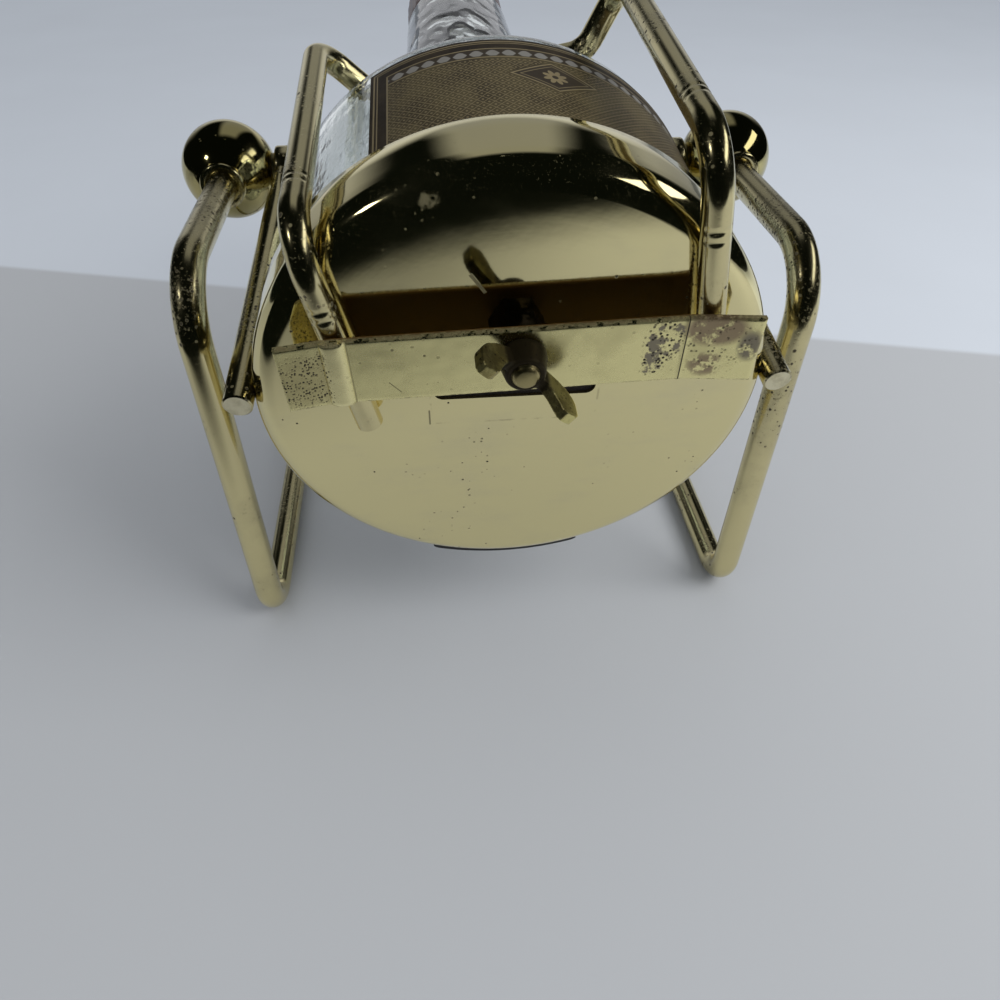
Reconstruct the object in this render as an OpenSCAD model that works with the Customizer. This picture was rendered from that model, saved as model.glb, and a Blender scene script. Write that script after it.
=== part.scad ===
// Tilting bottle pourer: a bent-rod stand carries a bottle cradle between two ball pivots.
// +X is right, +Y points to the bottle's neck, +Z is up.
// The origin lies on the table, midway between the pivots and straight below the tilt axis.

/* [Bottle] */
// Outside diameter of the bottle's body
bottle_d = 120; // [110:0.2:128]
// Height at which the straight body ends, from the cup's outer face
body_top = 66; // [56:1:75]
// Radius of the rounded shoulder
shoulder_r = 16; // [14:0.5:22]
// Radius of the hollow between shoulder and neck
throat_r = 10; // [9:0.5:13]
// Length of the neck's taper above the hollow
taper_l = 50; // [40:1:60]
// Radius of the curve from the taper to the upper neck
neck_curve_r = 150; // [120:5:200]
// Height at which the neck ends, from the cup's outer face
neck_top = 236; // [215:1:245]
// Radius of the glass below the cap
finish_r = 19.5; // [17:0.1:21]
// Length of the glass finish that the cap covers
finish_l = 26; // [22:0.5:32]
// Thickness of the glass
glass_t = 4; // [3:0.1:5]
// Depth of the hollow in the bottle's base
punt_h = 6.4; // [5.5:0.1:9]
// Length of the label along the bottle
label_l = 48; // [25:1:49]
// Angle of the label around the bottle
label_angle = 84; // [60:1:120]
// Angle by which the label is turned to the right of the top
label_turn = 11.5; // [-40:0.5:40]
// Thickness of the label's paper
label_t = 0.3; // [0.2:0.05:0.6]

/* [Cup] */
// Thickness of the cup's sheet metal
cup_wall = 1; // [0.8:0.1:2]
// Gap between the bottle and the cup's wall
cup_gap = 2; // [1:0.1:3]
// Depth of the cup outside
cup_depth = 19.5; // [16:0.5:26]
// Outside radius of the cup's bottom corner
cup_corner_r = 6; // [4:0.5:9]
// Thickness of the felt disc in the cup
felt_t = 1.5; // [1:0.1:2.5]
// Width of the slot in the cup's bottom
slot_w = 39.4; // [30:0.2:48]
// Height of the slot
slot_h = 7; // [5:0.5:9]
// Height of the slot's lower edge above the bottle's axis
slot_z = 4.3; // [2:0.1:6]
// Thickness of the bumper pad under the cup
pad_t = 3; // [1.5:0.1:4]
// Length of the bumper pad along the cup's wall
pad_l = 11; // [8:0.5:12]
// Length by which the pad stands out past the cup's straight wall
pad_over = 2; // [0.5:0.5:2.5]
// Angle of the bumper pad around the cup
pad_angle = 40; // [20:1:60]

/* [Stand] */
// Diameter of the stand's rod
stand_rod_d = 8.4; // [7:0.1:10]
// Gap at each side between the cradle and the uprights
cradle_gap = 3.95; // [3:0.05:8]
// Gap between the swinging cup and the table
table_gap = 0.6; // [0.4:0.1:6]
// Distance from the uprights forward to the tilt axis
arm_l = 75.5; // [65:0.5:90]
// Length of the runners between the centre lines of the uprights and the front bar
runner_l = 150; // [130:1:190]
// Bend radius from an arm to an upright
top_bend_r = 18; // [12:0.5:24]
// Bend radius from an upright to a runner
foot_bend_r = 11; // [8:0.5:16]
// Bend radius from a runner to the front bar
front_bend_r = 18; // [12:0.5:24]
// Diameter of the balls
ball_d = 28; // [25:0.5:34]
// Depth of the socket that takes the arm
socket_l = 10; // [8:0.5:11]
// Length of the collar behind each ball
collar_l = 2.4; // [1.5:0.1:4]
// Wall of the collar around the arm
collar_wall = 2.3; // [1.5:0.1:3]

/* [Pivot] */
// Tilt of the cradle at rest, neck up
rest_tilt = 8.4; // [0:0.1:20]
// Distance from the cup's outer face forward to the tilt axis
pivot_y = 97.7; // [90:0.1:110]
// Height of the tilt axis above the bottle's axis
pivot_z = 13.1; // [10:0.1:18]
// Diameter of the pivot pins
pin_d = 5; // [4:0.1:6]
// Radial clearance of the pins in the side arms
pin_clear = 0.05; // [0.02:0.01:0.1]
// Depth of a pin in its ball
pin_in_ball = 9; // [7:0.5:10]
// Diameter of a pin's head
pin_head_d = 9; // [8:0.1:11]
// Thickness of a pin's head
pin_head_t = 2; // [1.5:0.1:3]
// Thickness of the pivot washers
washer_t = 1; // [0.6:0.1:1.6]
// Diameter of the pivot washers
washer_d = 9; // [8:0.1:9.4]
// Gap between the faces that turn on each other
face_gap = 0.1; // [0.05:0.01:0.3]

/* [Side arms] */
// Diameter of the side arms' rod
side_rod_d = 7.2; // [6:0.1:8.4]
// Height of the side arms above the bottle's axis at the cup
side_arm_z = 5.2; // [3:0.1:8]
// Depth to which a side arm is let in on the cup's wall
saddle = 0.35; // [0.2:0.05:0.8]
// Diameter of the eye at a side arm's front end
eye_d = 13; // [11:0.5:15]
// Thickness of the eye
eye_t = 4.4; // [3.5:0.1:5]

/* [Bail] */
// Diameter of the bail's rod
bail_rod_d = 6.35; // [5.5:0.05:7]
// Distance of the bail's side bars from its middle
bail_half_w = 40.6; // [36:0.1:44]
// Height of the side bars above the bottle's axis
bail_z = 59.6; // [58:0.1:70]
// Roll of the bail about the strap's middle
bail_roll = 11; // [0:0.5:14]
// Sideways offset of the bail on the cup
bail_shift = 2; // [0:0.1:3]
// Length of the legs below the strap's middle
leg_tip_l = 14; // [11:0.5:16]
// Bend radius from a side bar to a leg
leg_bend_r = 11; // [9:0.5:14]
// Bend radius of the cross piece
cross_bend_r = 8; // [6:0.5:9]
// Gap between curved pieces that don't touch
curve_gap = 0.3; // [0.2:0.05:0.5]

/* [Clamp] */
// Height of the bolt above the bottle's axis
bolt_z = 23.8; // [22:0.1:28]
// Diameter of the bolt
bolt_d = 6.35; // [5:0.05:7]
// Diameter of the bolt's head
bolt_head_d = 15; // [13:0.5:17]
// Thickness of the bolt's head
bolt_head_t = 2.6; // [2:0.1:3]
// Width of the lock nut across its flats
lock_nut_w = 11.1; // [10:0.1:13]
// Thickness of the lock nut
lock_nut_t = 4.8; // [4:0.1:5.4]
// Length of the strap
strap_l = 104; // [96:0.5:110]
// Width of the strap
strap_w = 17.2; // [15:0.1:22]
// Thickness of the strap
strap_t = 1.6; // [1.2:0.1:2]
// Distance of the strap's right crease from its middle
crease_x = 35.7; // [33:0.1:42]
// Distance of the strap's left ridge from its middle
ridge_x = 40; // [36:0.1:44]
// Angle at which the strap's tabs flare
tab_flare = 8; // [0:0.5:14]
// Drop of the strap's middle line below the bolt
strap_drop = 1.3; // [0:0.1:4]
// Roll of the strap about the bolt
strap_roll = 2; // [0:0.1:4]
// Radius of the ridge on the left crease
ridge_r = 2; // [1.8:0.1:2.6]
// Radial clearance of the wing nut on the bolt
nut_clear = 0.05; // [0.02:0.01:0.1]
// Diameter of the wing nut's hub at its foot
hub_d = 10.8; // [10:0.1:13]
// Height of the wing nut's hub
hub_h = 6.2; // [5.5:0.1:9]
// Distance of the wing tips from the bolt's axis
wing_r = 13.2; // [12:0.1:15]
// Height of the wing tips
wing_h = 12.6; // [11.5:0.1:14]
// Thickness of the wings
wing_t = 2.7; // [2:0.1:3]
// Angle at which the wing nut is left standing
wing_angle = 39; // [0:1:90]
// Length of the bolt's end that stands out of the hub
bolt_end_l = 1.2; // [1:0.1:3]

/* [Cap] */
// Wall of the cap
cap_wall = 1.6; // [1.2:0.1:2.2]
// Radial clearance of the cap on the glass
cap_clear = 0.3; // [0.2:0.05:0.5]
// Thickness of the seal in the cap
seal_t = 1; // [0.8:0.1:1.4]
// Number of grip ribs on the cap
cap_ribs = 40; // [24:1:60]

/* [Hidden] */
$fn = 96;
left = -1;
right = 1;

// Clearance of pieces that are fixed to each other
seat_gap = 0.02;
// Length that a cut runs past the faces it opens
over = 1;

// Cup and bottle
bottle_r = bottle_d / 2;
cup_r = bottle_r + cup_gap + cup_wall;
base_y = cup_wall + felt_t + seat_gap;
heel_r = 6;
foot_ring_r = bottle_r - 2 * heel_r;
finish_top = neck_top + finish_l;
mouth_r = finish_r - glass_t;
neck_step = 3;

// Bottle outline: shoulder arc, hollow throat arc and the neck's cone
shoulder_turn = 84;
shoulder_c = [body_top, bottle_r - shoulder_r];
throat_c = shoulder_c + (shoulder_r + throat_r) * [sin(shoulder_turn), cos(shoulder_turn)];
neck_slope = 10.9;
throat_end = throat_c - throat_r * [sin(neck_slope), cos(neck_slope)];
upper_slope = 2;
taper_end = throat_end + taper_l * [cos(neck_slope), -sin(neck_slope)];
neck_c = taper_end + neck_curve_r * [sin(neck_slope), cos(neck_slope)];
upper_start = neck_c - neck_curve_r * [sin(upper_slope), cos(upper_slope)];
neck_top_r = upper_start[1] - (neck_top - upper_start[0]) * tan(upper_slope);

// Stand
side_reach = cup_r - saddle + side_rod_d;
half_w = snap(side_reach + cradle_gap + stand_rod_d / 2);
swing_r = norm([pivot_y - cup_corner_r, cup_r - cup_corner_r + pivot_z]) + cup_corner_r;
pad_y = cup_corner_r - pad_over;
pad_swing_r = norm([pivot_y - pad_y, cup_r + pad_t + pivot_z]);
pivot_h = snap(max(swing_r, pad_swing_r) + table_gap);
ball_r = ball_d / 2;
ball_flat = sqrt(pow(ball_r, 2) - pow(washer_d / 2 + 0.15, 2));
collar_r = stand_rod_d / 2 + collar_wall;
collar_seat = sqrt(pow(ball_r, 2) - pow(collar_r + 0.1, 2));

// Pivot stack along X, from the ball's flat inwards
flat_x = half_w - ball_flat;
washer_x = flat_x - face_gap;
eye_out_x = washer_x - washer_t - face_gap;
eye_x = eye_out_x - eye_t / 2;
head_x = eye_out_x - eye_t - face_gap;

// Side arms
side_r = side_rod_d / 2;
side_c_r = cup_r + side_r - saddle;
side_x = sqrt(pow(side_c_r, 2) - pow(side_arm_z, 2));

// Clamp, measured outwards from the cup's outer face
bail_r = bail_rod_d / 2;
leg_y = -(bail_r + curve_gap);
strap_in = bail_rod_d + 2 * curve_gap;
strap_out = strap_in + strap_t;
strap_z = bolt_z - strap_drop;
bolt_tip = strap_out + face_gap + hub_h + bolt_end_l;
bolt_hole_r = bolt_d / 2 + 0.3;
ridge_sink = 1.1;

// Bail: the cross piece lies in the hollow between the bottle's shoulder and neck
hollow_reach = throat_r - bail_r - curve_gap;
hollow_angle = 30;
cross_y = snap(throat_c[0] - hollow_reach * cos(hollow_angle));
bail_axis_dz = strap_z * (1 - cos(bail_roll)) + bail_shift * sin(bail_roll);
cross_z = snap(throat_c[1] - hollow_reach * sin(hollow_angle) + bail_axis_dz);
// Extra diameter of the knuckles where the cross piece joins
knuckle = 0.1;
// The dip falls four for every three that it runs inwards
dip_x = bail_half_w - (bail_z - cross_z) * 3 / 4;

// Cap
cap_in_r = finish_r + cap_clear;
cap_out_r = cap_in_r + cap_wall;
cap_y = neck_top + neck_step + 1;
cap_top = finish_top + seal_t + 2 * seat_gap + cap_wall;
rib_r = 0.5;

brass = "#c9bb72";
dark_brass = "#8f8043";
steel = "#7d776a";

// Points of an arc in a lathe outline: c is [height, radius], angles start at the radius direction
function lathe_arc(c, r, a0, a1, n) =
    [for (i = [0:n]) let (a = a0 + (a1 - a0) * i / n) [c[1] + r * cos(a), c[0] + r * sin(a)]];

function unit(v) = v / norm(v);

// Rounds a worked-out position to a hundredth, so that the runs and bends of a rod meet
function snap(v) = round(v * 100) / 100;

// Turns a solid that stands on Z so that it points along +Y
module along_y() {
    rotate([-90, 0, 0]) children();
}

// Turns a solid that stands on Z so that it points along -Y
module along_back() {
    rotate([90, 0, 0]) children();
}

// Turns a solid that stands on Z so that it points along +X
module along_x() {
    rotate([0, 90, 0]) children();
}

// Places what is modelled in the cup's own frame: +Y along the bottle, zero on the cup's outer face
module in_cradle() {
    translate([0, 0, pivot_h])
        rotate([rest_tilt, 0, 0])
            translate([0, -pivot_y, -pivot_z])
                children();
}

module rod_run(a, b, d) {
    u = unit(b - a);
    translate(a)
        rotate([0, acos(u[2]), atan2(u[1], u[0])])
            cylinder(h = norm(b - a), d = d);
}

// Quarter-like bend of a rod at corner b, between a run from a and a run to c
module rod_bend(a, b, c, r, d) {
    u = unit(b - a);
    v = unit(c - b);
    turn = acos(u * v);
    n = unit(v - u * (u * v));
    centre = b - u * (r * tan(turn / 2)) + n * r;
    w = cross(-n, u);
    multmatrix([[-n[0], u[0], w[0], centre[0]],
                [-n[1], u[1], w[1], centre[1]],
                [-n[2], u[2], w[2], centre[2]],
                [0, 0, 0, 1]])
        rotate_extrude(angle = turn)
            translate([r, 0])
                circle(d = d);
}

function bend_cut(path, radii, i) =
    radii[i] == 0 ? 0 :
    radii[i] * tan(acos(unit(path[i] - path[i - 1]) * unit(path[i + 1] - path[i])) / 2);

// A rod of diameter d that follows path and turns its corners at the given bend radii
module bent_rod(path, radii, d) {
    last = len(path) - 1;
    for (i = [0:last - 1]) {
        u = unit(path[i + 1] - path[i]);
        rod_run(path[i] + u * bend_cut(path, radii, i),
                path[i + 1] - u * bend_cut(path, radii, i + 1), d);
    }
    for (i = [1:last - 1])
        rod_bend(path[i - 1], path[i], path[i + 1], radii[i], d);
}

module stand_frame() {
    tip_y = -ball_r + socket_l;
    foot_z = stand_rod_d / 2;
    front_y = runner_l - arm_l;
    path = [[-half_w, tip_y, pivot_h], [-half_w, -arm_l, pivot_h], [-half_w, -arm_l, foot_z],
            [-half_w, front_y, foot_z], [half_w, front_y, foot_z],
            [half_w, -arm_l, foot_z], [half_w, -arm_l, pivot_h], [half_w, tip_y, pivot_h]];
    radii = [0, top_bend_r, foot_bend_r, front_bend_r, front_bend_r, foot_bend_r, top_bend_r, 0];
    color(brass) bent_rod(path, radii, stand_rod_d);
}

// Draws a left-hand piece at the left, or mirrored at the right
module on_side(side) {
    mirror([side == right ? 1 : 0, 0, 0]) children();
}

module ball(side) {
    color(dark_brass)
        on_side(side)
            translate([-half_w, 0, pivot_h])
                difference() {
                    sphere(d = ball_d);
                    // Socket for the arm
                    translate([0, -ball_r - over, 0])
                        along_y()
                            cylinder(h = socket_l + over + seat_gap, r = stand_rod_d / 2 + seat_gap);
                    // Flat seat for the collar
                    translate([0, -collar_seat, 0])
                        along_back() cylinder(h = ball_r, r = collar_r + 0.2);
                    // Flat face for the washer
                    translate([ball_flat, 0, 0])
                        along_x() cylinder(h = ball_r, r = ball_r);
                    // Bore for the pivot pin
                    translate([ball_flat - pin_in_ball, 0, 0])
                        along_x() cylinder(h = ball_r, r = pin_d / 2 + seat_gap);
                }
}

module ball_collar(side) {
    color(brass)
        on_side(side)
            translate([-half_w, -collar_seat - seat_gap, pivot_h])
                along_back()
                    difference() {
                        cylinder(h = collar_l, r = collar_r);
                        translate([0, 0, -over])
                            cylinder(h = collar_l + 2 * over, r = stand_rod_d / 2 + seat_gap);
                    }
}

module pivot_pin(side) {
    shank_l = flat_x + pin_in_ball - seat_gap - head_x + pin_head_t;
    color(steel)
        on_side(side)
            translate([pin_head_t - head_x - shank_l, 0, pivot_h])
                along_x() {
                    cylinder(h = shank_l, d = pin_d);
                    translate([0, 0, shank_l - pin_head_t])
                        cylinder(h = pin_head_t, d = pin_head_d);
                }
}

module pivot_washer(side) {
    color(steel)
        on_side(side)
            translate([-washer_x, 0, pivot_h])
                along_x()
                    difference() {
                        cylinder(h = washer_t, d = washer_d);
                        translate([0, 0, -over])
                            cylinder(h = washer_t + 2 * over, d = pin_d + 2 * pin_clear);
                    }
}

module side_arm(side) {
    rear = [-side_x, 0, side_arm_z];
    eye = [-eye_x, pivot_y, pivot_z];
    run_end = eye - unit(eye - rear) * (eye_d / 2 - over);
    color(brass)
        on_side(side)
            in_cradle()
                difference() {
                    union() {
                        rod_run(rear, run_end, side_rod_d);
                        translate(eye - [eye_t / 2, 0, 0])
                            along_x() cylinder(h = eye_t, d = eye_d);
                    }
                    // Saddle against the cup's wall
                    translate([0, -over, 0])
                        along_y() cylinder(h = cup_depth + over, r = cup_r + seat_gap);
                    // Running bore on the pivot pin
                    translate([-half_w, pivot_y, pivot_z])
                        along_x() cylinder(h = half_w, d = pin_d + 2 * pin_clear);
                    // Clearance to the ball
                    translate([-half_w, pivot_y, pivot_z])
                        sphere(r = ball_r + curve_gap);
                    // Clear ground round the washer and the pin's head
                    translate([-eye_out_x - eye_t, pivot_y, pivot_z])
                        along_x() cylinder(h = eye_t, d = washer_d + 1);
                    translate([eye_t - eye_out_x, pivot_y, pivot_z])
                        along_x() cylinder(h = eye_t, d = pin_head_d + 1);
                }
}

// Lathe outline of a cup of radius r and corner radius c, from its bottom at height y0 to its rim
module cup_outline(r, c, y0) {
    polygon(concat([[0, y0]],
                   lathe_arc([y0 + c, r - c], c, -90, 0, 16),
                   [[r, cup_depth + (y0 > 0 ? over : 0)], [0, cup_depth + (y0 > 0 ? over : 0)]]));
}

module cup() {
    slot_r = 2.4;
    color(brass)
        in_cradle()
            difference() {
                along_y()
                    rotate_extrude()
                        difference() {
                            cup_outline(cup_r, cup_corner_r, 0);
                            cup_outline(cup_r - cup_wall, cup_corner_r - cup_wall, cup_wall);
                        }
                // Bolt hole
                translate([0, -over, bolt_z])
                    along_y() cylinder(h = cup_wall + 2 * over, r = bolt_hole_r);
                // Slot with rounded ends
                translate([0, -over, slot_z + slot_h / 2])
                    along_y() linear_extrude(cup_wall + 2 * over) {
                        square([slot_w, slot_h - 2 * slot_r], center = true);
                        square([slot_w - 2 * slot_r, slot_h], center = true);
                        for (x = [-1, 1], y = [-1, 1])
                            translate([x * (slot_w / 2 - slot_r), y * (slot_h / 2 - slot_r)])
                                circle(r = slot_r);
                    }
            }
}

module felt_disc() {
    color("#2a2420")
        in_cradle()
            difference() {
                translate([0, cup_wall, 0])
                    along_y() cylinder(h = felt_t, r = cup_r - cup_corner_r);
                translate([0, 0, bolt_z])
                    along_y() cylinder(h = cup_wall + felt_t + over, d = bolt_head_d + 1);
            }
}

module bumper_pad() {
    color("#1b1a19")
        in_cradle()
            along_y()
                rotate([0, 0, 90 - pad_angle / 2])
                    rotate_extrude(angle = pad_angle)
                        translate([cup_r + seat_gap, pad_y])
                            square([pad_t - seat_gap, pad_l]);
}

module clamp_bolt() {
    head_rim = bolt_head_t * 0.5;
    color(steel)
        in_cradle()
            translate([0, 0, bolt_z]) {
                translate([0, cup_wall, 0])
                    along_y() cylinder(h = head_rim, d = bolt_head_d);
                translate([0, cup_wall + head_rim, 0])
                    along_y() cylinder(h = bolt_head_t - head_rim, d1 = bolt_head_d, d2 = bolt_d);
                translate([0, cup_wall, 0])
                    along_back() cylinder(h = cup_wall + bolt_tip - 0.6, d = bolt_d);
                translate([0, -bolt_tip + 0.6, 0])
                    along_back() cylinder(h = 0.6, d1 = bolt_d, d2 = bolt_d - 1.2);
            }
}

module lock_nut() {
    color(steel)
        in_cradle()
            translate([0, 0, bolt_z])
                along_back()
                    difference() {
                        cylinder(h = lock_nut_t, d = lock_nut_w / cos(30), $fn = 6);
                        translate([0, 0, -over])
                            cylinder(h = lock_nut_t + 2 * over, r = bolt_d / 2 + seat_gap);
                    }
}

// Cross-section of the strap: flat between the creases, with tabs that flare away from the cup
module strap_outline() {
    left_lift = (strap_l / 2 - ridge_x) * tan(tab_flare);
    right_lift = (strap_l / 2 - crease_x) * tan(tab_flare);
    polygon([[-strap_l / 2, strap_in + left_lift], [-ridge_x, strap_in],
             [crease_x, strap_in], [strap_l / 2, strap_in + right_lift],
             [strap_l / 2, strap_out + right_lift], [crease_x, strap_out],
             [-ridge_x, strap_out], [-strap_l / 2, strap_out + left_lift]]);
    // Rounded ridge where the left tab starts
    intersection() {
        translate([-ridge_x, strap_out - ridge_sink]) circle(r = ridge_r);
        translate([-ridge_x - ridge_r, strap_in]) square([2 * ridge_r, 2 * ridge_r + strap_t]);
    }
}

// Turns what is modelled round the bolt by the strap's roll
module in_strap() {
    in_cradle()
        translate([0, 0, bolt_z])
            rotate([0, -strap_roll, 0])
                children();
}

module clamp_strap() {
    color(brass)
        in_strap()
            difference() {
                translate([0, 0, -strap_drop - strap_w / 2])
                    linear_extrude(strap_w)
                        mirror([0, 1]) strap_outline();
                along_back() cylinder(h = strap_out + over, r = bolt_hole_r);
            }
}

// Half of the wing nut's wings, in the plane of radius and height
module wing_outline() {
    tip = 2;
    hull_top = wing_h - tip;
    difference() {
        polygon([[0, 1.2], [hub_d / 2, 1.6], [wing_r - tip, 3.6], [wing_r, 3.6 + tip],
                 [wing_r, hull_top], [wing_r - tip, wing_h], [wing_r - 2 * tip, wing_h],
                 [hub_d / 2 - 0.2, hub_h], [0, hub_h]]);
        circle(r = bolt_d / 2);
    }
}

module wing_nut() {
    color(dark_brass)
        in_cradle()
            translate([0, -strap_out - face_gap, bolt_z])
                along_back()
                    rotate([0, 0, -wing_angle])
                        difference() {
                            union() {
                                cylinder(h = hub_h, d1 = hub_d, d2 = hub_d - 1.6);
                                for (turn = [0, 180])
                                    rotate([0, 0, turn])
                                        rotate([90, 0, 0])
                                            linear_extrude(wing_t, center = true)
                                                wing_outline();
                            }
                            translate([0, 0, -over])
                                cylinder(h = wing_h + 2 * over, r = bolt_d / 2 + nut_clear);
                        }
}

module bail() {
    bar_z = bail_z - strap_z;
    dip = [-dip_x, cross_y, cross_z - strap_z];
    path = [[-bail_half_w, leg_y, -leg_tip_l], [-bail_half_w, leg_y, bar_z],
            [-bail_half_w, cross_y, bar_z], dip];
    color(brass)
        in_cradle()
            translate([bail_shift, 0, strap_z])
                rotate([0, -bail_roll, 0]) {
                    for (side = [left, right])
                        on_side(side) {
                            bent_rod(path, [0, leg_bend_r, cross_bend_r, 0], bail_rod_d);
                            translate(dip) sphere(d = bail_rod_d + knuckle);
                        }
                    rod_run(dip, [dip_x, dip[1], dip[2]], bail_rod_d);
                }
}

module bottle_outside() {
    polygon(concat([[0, base_y + punt_h]],
                   [for (i = [1:8]) let (s = i / 8)
                       [foot_ring_r * s, base_y + punt_h * (1 - s * s)]],
                   lathe_arc([base_y + heel_r, bottle_r - heel_r], heel_r, -90, 0, 10),
                   lathe_arc(shoulder_c, shoulder_r, 0, shoulder_turn, 20),
                   lathe_arc(throat_c, throat_r, 180 + shoulder_turn, 180 + neck_slope, 14),
                   lathe_arc(neck_c, neck_curve_r, 180 + neck_slope, 180 + upper_slope, 8),
                   [[neck_top_r, neck_top], [finish_r, neck_top + neck_step],
                    [finish_r, finish_top], [0, finish_top]]));
}

module bottle_inside() {
    inner_r = bottle_r - glass_t;
    floor_y = base_y + glass_t;
    throat_in = throat_r + glass_t;
    neck_in = neck_curve_r + glass_t;
    polygon(concat([[0, floor_y + punt_h]],
                   [for (i = [1:8]) let (s = i / 8)
                       [foot_ring_r * s, floor_y + punt_h * (1 - s * s)]],
                   lathe_arc([floor_y + heel_r, inner_r - heel_r], heel_r, -90, 0, 10),
                   lathe_arc(shoulder_c, shoulder_r - glass_t, 0, shoulder_turn, 20),
                   lathe_arc(throat_c, throat_in, 180 + shoulder_turn, 180 + neck_slope, 14),
                   lathe_arc(neck_c, neck_in, 180 + neck_slope, 180 + upper_slope, 8),
                   [[neck_top_r - glass_t, neck_top - glass_t], [mouth_r, neck_top],
                    [mouth_r, finish_top + over], [0, finish_top + over]]));
}

module bottle() {
    color("#dfe8e6", 0.35)
        in_cradle()
            along_y()
                rotate_extrude()
                    difference() {
                        bottle_outside();
                        bottle_inside();
                    }
}

module bottle_label() {
    color("#5a4a30")
        in_cradle()
            along_y()
                rotate([0, 0, label_turn - 90 - label_angle / 2])
                    rotate_extrude(angle = label_angle)
                        translate([bottle_r + seat_gap, body_top - label_l - over])
                            square([label_t, label_l]);
}

module bottle_cap() {
    color("#4a1d17")
        in_cradle()
            along_y() {
                difference() {
                    translate([0, 0, cap_y]) cylinder(h = cap_top - cap_y, r = cap_out_r);
                    translate([0, 0, cap_y - over])
                        cylinder(h = cap_top - cap_wall - cap_y + over, r = cap_in_r);
                }
                for (i = [0:cap_ribs - 1])
                    rotate([0, 0, i * 360 / cap_ribs])
                        translate([cap_out_r, 0, cap_y + 1])
                            cylinder(h = cap_top - cap_y - 3, r = rib_r);
            }
}

module cap_seal() {
    color("#e8e2d2")
        in_cradle()
            translate([0, finish_top + seat_gap, 0])
                along_y() cylinder(h = seal_t, r = cap_in_r - cap_clear);
}

stand_frame();
ball(left);  // ball_left
ball(right);  // ball_right
ball_collar(left);  // ball_collar_left
ball_collar(right);  // ball_collar_right
pivot_pin(left);  // pivot_pin_left
pivot_pin(right);  // pivot_pin_right
pivot_washer(left);  // pivot_washer_left
pivot_washer(right);  // pivot_washer_right
side_arm(left);  // side_arm_left
side_arm(right);  // side_arm_right
cup();
felt_disc();
bumper_pad();
clamp_bolt();
lock_nut();
clamp_strap();
wing_nut();
bail();
bottle();
bottle_label();
bottle_cap();
cap_seal();
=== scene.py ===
import bpy
import math
from mathutils import Matrix, Vector, noise


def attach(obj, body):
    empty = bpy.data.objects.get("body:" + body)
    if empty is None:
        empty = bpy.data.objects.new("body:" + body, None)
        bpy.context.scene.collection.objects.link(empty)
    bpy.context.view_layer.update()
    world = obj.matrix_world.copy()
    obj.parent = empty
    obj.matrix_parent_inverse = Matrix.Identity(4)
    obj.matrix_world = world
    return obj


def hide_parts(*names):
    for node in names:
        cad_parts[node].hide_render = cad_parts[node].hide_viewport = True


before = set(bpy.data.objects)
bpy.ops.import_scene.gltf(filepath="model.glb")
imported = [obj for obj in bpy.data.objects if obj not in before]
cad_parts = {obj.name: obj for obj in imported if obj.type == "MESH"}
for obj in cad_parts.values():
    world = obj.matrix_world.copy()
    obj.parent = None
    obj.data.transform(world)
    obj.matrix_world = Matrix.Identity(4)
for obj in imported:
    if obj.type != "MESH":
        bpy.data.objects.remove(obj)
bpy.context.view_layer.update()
scene = bpy.context.scene
scene.view_settings.view_transform = "Standard"
print("stage: frame loaded,", len(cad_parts), "nodes")

mm = 0.001

# where the cradle stands at rest: tilted about the ball pivots, zero on the cup's outer face
cradle = {
    "pivotHeight": 123.22, "pivotForward": 97.7, "pivotAbove": 13.1, "tilt": 8.4,
}


def shift(x, y, z):
    return Matrix.Translation((x * mm, y * mm, z * mm))


def spin(degrees, axis):
    return Matrix.Rotation(math.radians(degrees), 4, axis)


cradleFrame = (
    shift(0, 0, cradle["pivotHeight"]) @ spin(cradle["tilt"], "X")
    @ shift(0, -cradle["pivotForward"], -cradle["pivotAbove"]))

sides = ((-1, "left"), (1, "right"))


def circle(count):
    return [2 * math.pi * k / count for k in range(count)]


# shader helpers


class Val:
    # wraps a socket, so that maths on it adds Math nodes
    def __init__(self, tree, socket):
        self.tree = tree
        self.socket = socket

    def calc(self, kind, *args):
        made = self.tree.nodes.new("ShaderNodeMath")
        made.operation = kind
        for i, a in enumerate(args):
            if isinstance(a, Val):
                self.tree.links.new(a.socket, made.inputs[i])
            else:
                made.inputs[i].default_value = a
        return Val(self.tree, made.outputs[0])

    def __add__(self, other):
        return self.calc("ADD", self, other)

    def __radd__(self, other):
        return self.calc("ADD", other, self)

    def __sub__(self, other):
        return self.calc("SUBTRACT", self, other)

    def __rsub__(self, other):
        return self.calc("SUBTRACT", other, self)

    def __mul__(self, other):
        return self.calc("MULTIPLY", self, other)

    def __rmul__(self, other):
        return self.calc("MULTIPLY", other, self)

    def __pow__(self, other):
        return self.calc("POWER", self, other)

    def low(self, other):
        return self.calc("MINIMUM", self, other)

    def high(self, other):
        return self.calc("MAXIMUM", self, other)

    def size(self):
        return self.calc("ABSOLUTE", self)

    def wave(self):
        return self.calc("SINE", self)

    def clip(self):
        return self.low(1.0).high(0.0)

    def ramp(self, start, end):
        # 0 at start, 1 at end, eased
        t = ((self - start) * (1.0 / (end - start))).clip()
        return t * t * (3.0 - 2.0 * t)

    def fade(self, start, end):
        return 1.0 - self.ramp(start, end)


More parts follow.
